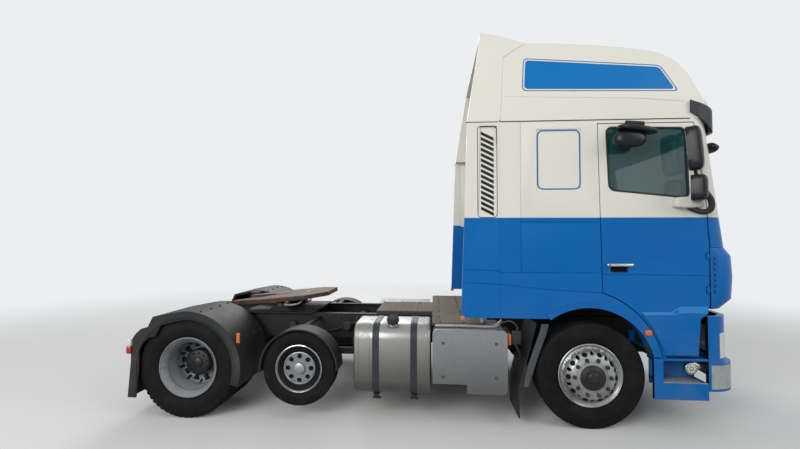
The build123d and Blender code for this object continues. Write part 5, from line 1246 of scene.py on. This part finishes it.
# Fuel tank with its seams, cap and strap bolts
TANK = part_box("fuel_tank")
TANK_X = (TANK[0].x, TANK[1].x)
TANK_SECTION = ((0.600, 1.215), (0.268, 0.958), 0.150)
tank = Shape()
END_ROUND = 0.028
ends = [(0.0, END_ROUND), (0.004, END_ROUND * 0.5), (0.010, END_ROUND * 0.22), (0.018, END_ROUND * 0.06),
        (0.028, 0.0)]
sections = [(TANK_X[0] + run, TANK_SECTION, inside) for run, inside in ends]
sections += [(TANK_X[1] - run, TANK_SECTION, inside) for run, inside in reversed(ends)]
along_x(tank, sections, -1)
for x in (TANK_X[0] + 0.040, TANK_X[0] + 0.150, TANK_X[1] - 0.052):
    collar(tank, (x, x + 0.012), TANK_SECTION, 0.0025, -1)
tank.piece("tank_body", "tank_alloy", "chassis", smooth=40, replaces=["fuel_tank"], slot="tank_alloy")
cap_x = TANK_X[0] + 0.504 * (TANK_X[1] - TANK_X[0])
way = Vector((0, -0.5, 0.866))
seat = Vector((cap_x, -1.105, 0.948))
neck = Shape().tube([seat - way * 0.03, seat + way * 0.035], radius=0.050, steps=32)
neck.piece("tank_neck", "chrome", "chassis")
cap = Shape()
cap.tube([seat + way * 0.030, seat + way * 0.075], radius=0.057, steps=32)
cap.tube([seat + way * 0.070, seat + way * 0.086], radius=0.042, steps=32)
for k in range(12):
    a = 2 * math.pi * k / 12
    out = Vector((math.cos(a), 0.866 * math.sin(a), 0.5 * math.sin(a))) * 0.056
    cap.tube([seat + way * 0.034 + out, seat + way * 0.072 + out], radius=0.006, steps=6)
cap.piece("tank_cap", "cap_black", "chassis")
feet = Shape()
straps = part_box("tank_straps")
for x in (straps[0].x + 0.033, straps[1].x - 0.033):
    feet.tube([(x, -1.10, 0.262), (x, -1.10, 0.216)], radius=0.009, steps=10)
    feet.box((x - 0.040, x + 0.040), (1.075, 1.125), (0.214, 0.222), -1, bevel=0.002)
    feet.box((x - 0.022, x + 0.022), (1.085, 1.115), (0.228, 0.240), -1, bevel=0.003)
    feet.box((x - 0.030, x + 0.030), (1.060, 1.140), (0.255, 0.263), -1, bevel=0.002)
feet.piece("strap_feet", "black_iron", "chassis")

# Cover box with its bolts, and the left boxes
soften("side_boxes", width=0.022, steps=5)
COVER_BOLTS = ahead([(x, z) for x in (-1.392, -0.886) for z in (0.792, 0.470)])
bolts = Shape()
caps = Shape()
for place in COVER_BOLTS:
    for side in (-1, 1):
        bolts.spin([(1.216, 0.0004), (1.2215, 0.0004), (1.2215, 0.013), (1.219, 0.016), (1.216, 0.016)],
                   place, 20, side)
        caps.spin([(1.217, 0.0004), (1.2245, 0.0004), (1.2245, 0.0062), (1.217, 0.0068)], place, 6, side)
bolts.piece("cover_bolts", "rubber_trim", "chassis")
caps.piece("cover_bolt_heads", "bolt_steel", "chassis")

# Bracket with an amber lamp and couplings between the cover box and the front wheel
for hand, side in SIDES.items():
    bracket = Shape()
    bracket.box(span(-0.725, -0.640), (1.120, 1.150), (0.775, 0.905), side, bevel=0.006)
    bracket.box(span(-0.735, -0.700), (0.650, 1.130), (0.800, 0.850), side, bevel=0.004)
    bracket.tube(route(side, [(-0.70, 1.14, 0.79), (-0.665, 1.15, 0.715), (-0.64, 1.12, 0.66),
                              (-0.66, 1.05, 0.64)]), radius=0.008, steps=8)
    bracket.tube(route(side, [(-0.68, 1.14, 0.89), (-0.68, 1.14, 0.95), (-0.72, 1.00, 0.97),
                              (-0.80, 0.80, 0.90)]), radius=0.010, steps=8)
    for x, z in ((-0.705, 0.88), (-0.660, 0.88), (-0.705, 0.80), (-0.660, 0.80)):
        bracket.spin([(1.148, 0.0004), (1.160, 0.0004), (1.160, 0.009), (1.148, 0.010)],
                     (front_x(x), z), 8, side)
    bracket.piece(f"coupling_bracket_{hand}", "black_iron", "chassis")
    shape = Shape().box(span(-0.768, -0.738), (1.120, 1.175), (0.770, 0.880), side, bevel=0.009, steps=3)
    shape.piece(f"side_marker_{hand}", "amber", "chassis")

for hand, side in SIDES.items():
    post = Shape()
    line = [(-0.416, 0.979), (-0.440, 0.880), (-0.485, 0.760), (-0.535, 0.620), (-0.575, 0.490),
            (-0.600, 0.380)]
    rings = []
    for k, (x, z) in enumerate(line):
        half = 0.034 if k < 5 else 0.022
        rings.append(post.ring((front_x(x + dx), side * y, z) for dx, y in (
            (-half, 1.150), (half, 1.150), (half, 1.168), (half - 0.006, 1.172), (-half + 0.006, 1.172),
            (-half, 1.168))))
    post.loops(rings, closed=False)
    post.piece(f"flap_post_{hand}", "flap_grey", "chassis")

tube = Shape()
tube.tube([(front_x(-1.47), -1.10, 0.936), (front_x(-1.20), -1.10, 0.938), (front_x(-0.93), -1.10, 0.934),
           (front_x(-0.86), -1.09, 0.950), (front_x(-0.81), -1.05, 0.985)], radius=0.016, steps=14)
tube.tube([(front_x(-1.00), -1.02, 0.930), (front_x(-1.00), -1.02, 1.000)], radius=0.028, steps=20)
tube.piece("deck_edge_tube", "pale_tube", "chassis")

# Mudguards: dusty lips, marker lamps and the tail capsule
GUARD_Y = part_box("mudguards")[1].y
GUARD_LIP_R = 0.5675
GUARD_TOP_R = 0.5715
GUARD_INNER_R = 0.512
GUARD_START = -14
# The lip's edge behind the round part, as (distance from the drive axle, height)
GUARD_TAIL = [(-0.343, 1.008), (-0.398, 0.898), (-0.463, 0.886), (-0.516, 0.840), (-0.564, 0.773),
              (-0.564, 0.560), (-0.589, 0.207)]
MATERIALS["guard_lip"] = plastic("guard_lip", colour(33, 35, 37), dust_amount=0.35, dust_high=1.2,
                                 roughness=0.6, shine=0.25)


def guard_arc(radius, sweep, steps):
    """Points round the drive axle, over so many degrees from the guard's front edge."""
    return [(DRIVE_X + radius * math.cos(a), AXLE_Z + radius * math.sin(a))
            for a in (math.radians(GUARD_START + sweep * k / steps) for k in range(steps + 1))]


for hand, side in SIDES.items():
    lip = Shape()
    outer = guard_arc(GUARD_LIP_R, 108, 24) + [(DRIVE_X + x, z) for x, z in GUARD_TAIL]
    inner = guard_arc(GUARD_INNER_R, 206, 40)
    inner += [(DRIVE_X - 0.520, 0.207)]
    outline = outer + inner[::-1]
    lip.prism(outline, (GUARD_Y - 0.001, GUARD_Y + 0.002), side)
    lip.piece(f"guard_lip_{hand}", "guard_lip", "chassis")
    shape = Shape().tube([(x, side * (GUARD_Y - 0.0005), z) for x, z in inner[1:-1:2]], radius=0.0045,
                         steps=8, divide=3)
    shape.piece(f"guard_bead_{hand}", "guard_lip", "chassis")
    shape = Shape().box(span(-3.421, -3.386), (GUARD_Y - 0.002, GUARD_Y + 0.016), (0.765, 0.865), side,
                        bevel=0.008, steps=3)
    shape.piece(f"guard_marker_{hand}", "amber", "chassis")
    for label, z, material in (("top", (0.712, 0.792), "white_lens"),
                               ("foot", (0.640, 0.722), "red_lens")):
        shape = Shape().pod(span(-4.552, -4.498), (GUARD_Y - 0.020, GUARD_Y + 0.034), z, side,
                            squareness=0.55)
        shape.piece(f"tail_marker_{label}_{hand}", material, "chassis")
    seams = Shape()
    for angle in (28, 78):
        a = math.radians(angle)
        at = (DRIVE_X + GUARD_TOP_R * math.cos(a), AXLE_Z + GUARD_TOP_R * math.sin(a))
        for y in (0.62, 0.80, 1.00, 1.20):
            bolt(seams, (at[0], side * y, at[1]), (math.cos(a), 0, math.sin(a)), radius=0.011, height=0.008)
    seams.piece(f"guard_bolts_{hand}", "black_iron", "chassis")

# Tail: lamp lenses and a blank plate
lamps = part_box("tail_lamps")
for hand, side in SIDES.items():
    for label, y, material in (("amber", (0.66, 0.76), "amber"), ("red", (0.77, 0.93), "red_lens"),
                               ("white", (0.94, 1.02), "white_lens")):
        shape = Shape().box((lamps[0].x + 0.0005, lamps[0].x + 0.010), y, (0.615, 0.745), side,
                            bevel=0.004, steps=2)
        shape.piece(f"tail_lens_{label}_{hand}", material, "chassis")
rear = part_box("frame_rails")[0].x
shape = Shape().box((rear - 0.012, rear + 0.001), PLATE_Y, (0.735, 0.845), bevel=0.003)
shape.piece("blank_plate_rear", "plate_white", "chassis")

# Frame: bolts along the rails, valves and lines
RAIL_Y = 0.430
RAIL_BOLT_Z = (0.705, 0.885)
RAIL_BOLT_PITCH = 0.135
rail_bolts = Shape()
for side in (-1, 1):
    x = rear + 0.12
    while x < front_x(0.90):
        for z in RAIL_BOLT_Z:
            bolt(rail_bolts, (x, side * RAIL_Y, z), (0, side, 0), radius=0.011, height=0.010)
        x += RAIL_BOLT_PITCH
rail_bolts.piece("rail_bolts", "black_iron", "chassis")
VALVE_X = (front_x(-3.11), front_x(-2.47), front_x(-1.25))
VALVE_Z = 0.80
valves = Shape()
for side in (-1, 1):
    for x, r, length in zip(VALVE_X, (0.048, 0.055, 0.060), (0.09, 0.10, 0.12)):
        valves.spin([(RAIL_Y - 0.002, 0.0005), (RAIL_Y + length, 0.0005), (RAIL_Y + length, r * 0.72),
                     (RAIL_Y + length * 0.8, r), (RAIL_Y + length * 0.25, r), (RAIL_Y, r * 0.8)],
                    (x, VALVE_Z), 28, side)
    valves.tube([(VALVE_X[1], side * 0.50, 0.80), (VALVE_X[1] - 0.24, side * 0.47, 0.74),
                 (VALVE_X[0] + 0.15, side * 0.46, 0.73), (VALVE_X[0], side * 0.50, 0.78)],
                radius=0.009, steps=8)
    valves.tube([(VALVE_X[1], side * 0.50, 0.83), (VALVE_X[1] + 0.36, side * 0.455, 0.85),
                 (VALVE_X[2] - 0.36, side * 0.455, 0.84), (VALVE_X[2], side * 0.52, 0.82)],
                radius=0.009, steps=8)
valves.piece("air_valves", "black_iron", "chassis")

# Fifth wheel: grease and release handle
FIFTH = joints["fifth_wheel_rock"]["pos_m"]
PLATE_TOP_Z = 1.104
PLATE_RISE = PLATE_TOP_Z - FIFTH[2]
REST_LEAN = -5.8
grease = Shape()
for radius, thickness, arc in ((0.245, 0.030, (38, 322)), (0.360, 0.012, (52, 128)),
                               (0.360, 0.012, (232, 308))):
    points = []
    for k in range(41):
        a = math.radians(arc[0] - 180 + (arc[1] - arc[0]) * k / 40)
        points.append((radius * math.cos(a), radius * math.sin(a)))
    outer = [(x * (1 + thickness / radius / 2), y * (1 + thickness / radius / 2)) for x, y in points]
    inner = [(x * (1 - thickness / radius / 2), y * (1 - thickness / radius / 2)) for x, y in points]
    outline = outer + inner[::-1]
    rings = [grease.ring((FIFTH[0] + x, y, FIFTH[2] + PLATE_RISE + lift) for x, y in outline)
             for lift in (-0.001, 0.0012)]
    grease.loops(rings, closed=False)
turn(grease, FIFTH, REST_LEAN)
grease.piece("coupling_grease", "grease", "fifth_wheel")
handle = Shape()
handle.tube([(FIFTH[0] + 0.28, -0.42, FIFTH[2] + 0.020), (FIFTH[0] + 0.29, -0.60, FIFTH[2] + 0.012),
             (FIFTH[0] + 0.22, -0.635, FIFTH[2] + 0.010), (FIFTH[0] + 0.13, -0.60, FIFTH[2] + 0.012),
             (FIFTH[0] + 0.12, -0.44, FIFTH[2] + 0.020)], radius=0.010, steps=10)
turn(handle, FIFTH, REST_LEAN)
handle.piece("release_handle", "bolt_steel", "fifth_wheel")

# Lines for the trailer on the cab's rear wall
WALL_X = front_x(-0.850)
COUPLING_Z = 1.40
shape = Shape().box((WALL_X - 0.012, WALL_X + 0.001), (-0.34, 0.34), (1.30, 1.50), bevel=0.006)
shape.piece("line_panel", "black_iron", "cab")
for label, y, material in (("red", -0.24, "hose_red"), ("yellow", -0.12, "hose_yellow"),
                           ("power", 0.04, "hose"), ("brake", 0.20, "hose")):
    coupling = Shape()
    for near, far, radius in ((0.010, 0.075, 0.032), (0.070, 0.090, 0.040)):
        coupling.tube([(WALL_X - near, y, COUPLING_Z), (WALL_X - far, y, COUPLING_Z)], radius, steps=24)
    coupling.piece(f"line_coupling_{label}", material, "cab")
ribs = Shape()
for y in (-0.95, -0.60, -0.25, 0.25, 0.60, 0.95):
    ribs.box((WALL_X - 0.007, WALL_X + 0.001), (y - 0.035, y + 0.035), (1.58, 2.80), bevel=0.0035)
ribs.piece("rear_wall_ribs", "cab_white", "cab")

# Cab interior: padded seats and bunk, armrests, instrument hood
DRIVER_Y = 0.550


def pad(name, material, x, y, z, crown, channels, squareness, lean, replaces=()):
    """A stuffed block with sewn channels across its larger face, as (axis, places, depth)."""
    shape = Shape()
    shape.pod(x, y, z, 1, squareness, None, (112, 64))
    middle = Vector((sum(x) / 2, sum(y) / 2, sum(z) / 2))
    half = Vector(((x[1] - x[0]) / 2, (y[1] - y[0]) / 2, (z[1] - z[0]) / 2))
    thin = min(range(3), key=lambda i: half[i])
    wide = [i for i in range(3) if i != thin]
    for vert in shape.mesh.verts:
        local = vert.co - middle
        share = [local[i] / half[i] for i in range(3)]
        swell = (1 - abs(share[wide[0]]) ** 2.5) * (1 - abs(share[wide[1]]) ** 2.5)
        local[thin] *= 1 - crown + crown * max(swell, 0) ** 0.5
        for axis, places, depth in channels:
            for place in places:
                gap = (local[axis] - place) / 0.009
                local[thin] *= 1 - depth * math.exp(-gap * gap)
        for i in wide:
            other = wide[1 - wide.index(i)]
            local[i] *= 1 - 0.025 * (1 - min(abs(share[other]), 1) ** 2)
        vert.co = middle + local
    if lean:
        turn(shape, middle, lean)
    made = shape.piece(name, material, "cab", smooth=60, replaces=replaces, slot="seat_cloth")


for hand, side in (("driver", 1), ("guest", -1)):
    y = side * DRIVER_Y
    low, high = y - 0.240, y + 0.240
    taken = ("seats",) if hand == "driver" else ()
    pad(f"seat_cushion_{hand}", "seat_pad", span(0.000, 0.468), (low, high), (1.652, 1.790), crown=0.30,
        channels=((1, (-0.150, 0.150), 0.28), (0, (0.10,), 0.20)), squareness=0.34, lean=0, replaces=taken)
    pad(f"seat_back_{hand}", "seat_pad", span(-0.155, -0.030), (low + 0.008, high - 0.008),
        (1.735, 2.270), crown=0.32, channels=((1, (-0.145, 0.145), 0.30), (2, (-0.10, 0.08), 0.20)),
        squareness=0.36, lean=-6.5)
    pad(f"seat_head_{hand}", "seat_centre", span(-0.205, -0.105), (y - 0.135, y + 0.135),
        (2.275, 2.418), crown=0.25, channels=((1, (-0.09, 0.09), 0.18),), squareness=0.45, lean=-6.5)
    stand = Shape()
    stand.box(span(0.040, 0.350), (y - 0.170, y + 0.170), (1.300, 1.420), bevel=0.012)
    for k in range(5):
        z = 1.430 + 0.036 * k
        inside = 0.014 if k % 2 else 0.0
        stand.box(span(0.060 + inside, 0.330 - inside), (y - 0.140 + inside, y + 0.140 - inside),
                        (z - 0.012, z + 0.026), bevel=0.008)
    stand.box(span(0.010, 0.420), (y - 0.205, y + 0.205), (1.608, 1.660), bevel=0.012)
    for low_y in (y - 0.262, y + 0.236):
        stand.pod(span(-0.110, 0.010), (low_y, low_y + 0.026), (1.680, 1.780), squareness=0.6)
    for stem_y in (y - 0.06, y + 0.06):
        stand.tube([(front_x(-0.148), stem_y, 2.255), (front_x(-0.152), stem_y, 2.300)], radius=0.007,
                   steps=10)
    stand.piece(f"seat_frame_{hand}", "dash_grey", "cab", slot="dash_grey")

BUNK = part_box("bunk")
MATTRESS_SEAMS = (-0.78, -0.39, 0.0, 0.39, 0.78)
pad("bunk_mattress", "mattress", (BUNK[0].x + 0.004, BUNK[1].x - 0.004),
    (BUNK[0].y + 0.006, BUNK[1].y - 0.006), (1.655, BUNK[1].z + 0.006), crown=0.22,
    channels=((1, MATTRESS_SEAMS, 0.22),), squareness=0.16, lean=0, replaces=("bunk",))
locker = Shape()
locker.box((BUNK[0].x, BUNK[1].x - 0.012), (BUNK[0].y, BUNK[1].y), (BUNK[0].z, 1.668), bevel=0.010)
for y0, y1 in ((-1.10, -0.40), (-0.36, 0.36), (0.40, 1.10)):
    locker.box((BUNK[1].x - 0.014, BUNK[1].x - 0.006), (y0, y1), (BUNK[0].z + 0.06, 1.620), bevel=0.003)
locker.piece("bunk_locker", "dash_grey", "cab", slot="dash_grey")
shape = Shape().box((BUNK[0].x + 0.001, BUNK[0].x + 0.012), (-1.12, 1.12), (1.80, 2.86), bevel=0.004)
shape.piece("rear_wall_lining", "carpet", "cab")

hood = Shape()
hood.pod(span(0.770, 0.960), (DRIVER_Y - 0.20, DRIVER_Y + 0.20), (1.700, 1.852), squareness=0.5)
hood.pod(span(0.760, 0.930), (-0.16, 0.30), (1.600, 1.800), squareness=0.35)
hood.piece("instrument_hood", "dash_grey", "cab", smooth=50)
screens = Shape()
screens.box(span(0.757, 0.766), (-0.10, 0.12), (1.640, 1.765), bevel=0.004)
screens.box(span(0.772, 0.790), (DRIVER_Y - 0.13, DRIVER_Y + 0.13), (1.735, 1.815), bevel=0.006)
screens.piece("instrument_screens", "black_gloss", "cab")
vents = Shape()
for y in (-0.92, -0.55, -0.28, 0.92):
    for k in range(4):
        vents.box(span(0.752, 0.772), (y - 0.07, y + 0.07), (1.635 + 0.016 * k, 1.643 + 0.016 * k),
                  bevel=0.001)
vents.piece("dash_vents", "rubber_trim", "cab")
stalks = Shape()
for y0, y1 in ((DRIVER_Y + 0.04, DRIVER_Y + 0.19), (DRIVER_Y - 0.04, DRIVER_Y - 0.19)):
    stalks.tube([(front_x(0.735), y0, 1.800), (front_x(0.730), (y0 + y1) / 2, 1.815),
                 (front_x(0.722), y1, 1.822)], radius=0.009, steps=10)
stalks.piece("column_stalks", "rubber_trim", "cab")
for hand, side in SIDES.items():
    rest = Shape()
    rest.pod(span(0.300, 0.740), off_side(-0.130, -0.050), (1.850, 1.925), side, squareness=0.45)
    rest.pod(span(0.180, 0.900), off_side(-0.100, -0.050), (1.400, 1.560), side, squareness=0.4)
    rest.piece(f"door_rest_{hand}", "dash_grey", f"door_{hand}_body", smooth=50, slot="dash_grey")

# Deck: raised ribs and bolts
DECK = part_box("catwalk")
RIB_LENGTH = 0.215
RIB_ROW_PITCH = 0.240
RIB_PITCH = 0.0385
RIB_HALF = 0.0065
RIB_END_Y = 1.075
ribs = Shape()
bolts = Shape()


def on_deck(x, y):
    hit = tree_of("catwalk").ray_cast(Vector((x, y, ABOVE_DECK)), Vector((0, 0, -1)))[0]
    return hit is not None and hit.z > DECK[1].z - 0.004


x = DECK[0].x + 0.020
while x < DECK[1].x - 0.10:
    end = min(x + RIB_LENGTH, DECK[1].x - 0.015)
    y = -RIB_END_Y
    while y < RIB_END_Y + 0.001:
        if all(on_deck(px, py) for px in (x, end) for py in (y - 0.008, y + 0.008)):
            ribs.box((x, end), (y - RIB_HALF, y + RIB_HALF), (DECK[1].z - 0.001, DECK[1].z + 0.0035),
                     bevel=0.0015, steps=1)
        y += RIB_PITCH
    for y in (-1.04, -0.72, -0.36, 0.36, 0.72, 1.04):
        if on_deck(x - 0.010, y) and on_deck(x - 0.010, y - 0.02):
            bolt(bolts, (x - 0.010, y, DECK[1].z), (0, 0, 1), radius=0.010, height=0.007)
    x += RIB_ROW_PITCH
ribs.piece("deck_ribs", "deck_rib", "chassis", slot="deck_alloy")
bolts.piece("deck_bolts", "black_iron", "chassis")

# Air hoses between the pusher axle and the tank, as (ahead of the axle, outwards, height)
HOSE_LINE = [(0.455, 0.470, 0.905), (0.470, 0.540, 0.850), (0.462, 0.590, 0.745), (0.425, 0.560, 0.650),
             (0.400, 0.470, 0.610)]
lines = Shape()
for side in (-1, 1):
    for dx, dy in ((0.0, 0.0), (0.045, 0.022), (0.110, -0.015)):
        lines.tube([(PUSHER_X + x + dx, side * (y + dy), z) for x, y, z in HOSE_LINE], radius=0.011,
                   steps=12)
lines.piece("axle_hoses", "hose", "chassis")

# Floor, light and camera. The floor fades into the backdrop between two distances
BACKDROP = colour(236, 238, 240)
# The floor as it reflects light onto the truck, and as the camera sees it
FLOOR_LIT_BY = colour(136, 136, 135)
FLOOR_SHOWN = colour(226, 226, 224)
FLOOR_SIZE = 160
AMBIENT = 0.49
FADE_FROM = 5.0
FADE_TO = 13.0
LIGHT_SIZE = 6.0


def shown_ray(tree_nodes, links):
    """1 for rays that show the backdrop: camera, glossy and transmission rays."""
    ray = tree_nodes.new("ShaderNodeLightPath")
    shown = ray.outputs["Is Camera Ray"]
    for kind in ("Is Glossy Ray", "Is Transmission Ray"):
        either = tree_nodes.new("ShaderNodeMath")
        either.operation = "MAXIMUM"
        links.new(shown, either.inputs[0])
        links.new(ray.outputs[kind], either.inputs[1])
        shown = either.outputs[0]
    return shown


bpy.ops.mesh.primitive_plane_add(size=FLOOR_SIZE, location=(0, 0, 0))
floor = bpy.context.object
floor.name = "floor"
ground = Tree("pale_floor")
visible = shown_ray(ground.nodes, ground.links)
ground.finish(ground.mix(visible, FLOOR_LIT_BY, FLOOR_SHOWN), 0.9,
              specular_ior_level=0.0)
glow = ground.add("ShaderNodeEmission", {"Color": BACKDROP, "Strength": 1.0})
distance = ground.add("ShaderNodeVectorMath", {0: ground.place}, operation="LENGTH").outputs["Value"]
fade = ground.times(ground.step(distance, FADE_FROM, FADE_TO), visible)
blend = ground.add("ShaderNodeMixShader", {0: fade, 1: ground.shader.outputs[0], 2: glow.outputs[0]})
ground.links.new(blend.outputs[0], ground.nodes["Material Output"].inputs[0])
floor.data.materials.append(ground.material)

world = bpy.data.worlds.new("studio")
bpy.context.scene.world = world
world.use_nodes = True
sky = world.node_tree
background = sky.nodes["Background"]
strength = sky.nodes.new("ShaderNodeMapRange")
sky.links.new(shown_ray(sky.nodes, sky.links), strength.inputs["Value"])
strength.inputs["To Min"].default_value = AMBIENT
strength.inputs["To Max"].default_value = 1.0
sky.links.new(strength.outputs[0], background.inputs["Strength"])
background.inputs["Color"].default_value = BACKDROP


def area_light(name, place, target, size, power):
    data = bpy.data.lights.new(name, "AREA")
    data.size = size
    data.energy = power
    lamp = bpy.data.objects.new(name, data)
    bpy.context.collection.objects.link(lamp)
    lamp.location = place
    lamp.rotation_euler = (Vector(target) - Vector(place)).to_track_quat("-Z", "Y").to_euler()


area_light("key", (-5.0, -10.5, 5.2), target=(0, 0, 1.7), size=LIGHT_SIZE, power=830)
area_light("fill", (8.0, -6.0, 6.0), target=(0.5, 0, 1.5), size=LIGHT_SIZE, power=260)
area_light("back", (-3.0, 9.0, 7.0), target=(0, 0, 1.5), size=LIGHT_SIZE, power=480)

# The photograph's viewpoint, fitted to points on the truck
PHOTO_PLACE = (FRONT_X - 1.478, -5.534, 1.792)
PHOTO_TURN = (math.pi / 2 + 0.0333, -0.0016, 0.077)
PHOTO_LENS = 19.9
camera_data = bpy.data.cameras.new("photo_view")
camera = bpy.data.objects.new("photo_view", camera_data)
bpy.context.collection.objects.link(camera)
camera_data.sensor_width = 36
camera_data.lens = PHOTO_LENS
camera_data.clip_end = 200
camera.location = PHOTO_PLACE
camera.rotation_euler = PHOTO_TURN
bpy.context.scene.camera = camera
bpy.context.scene.view_settings.view_transform = "Standard"
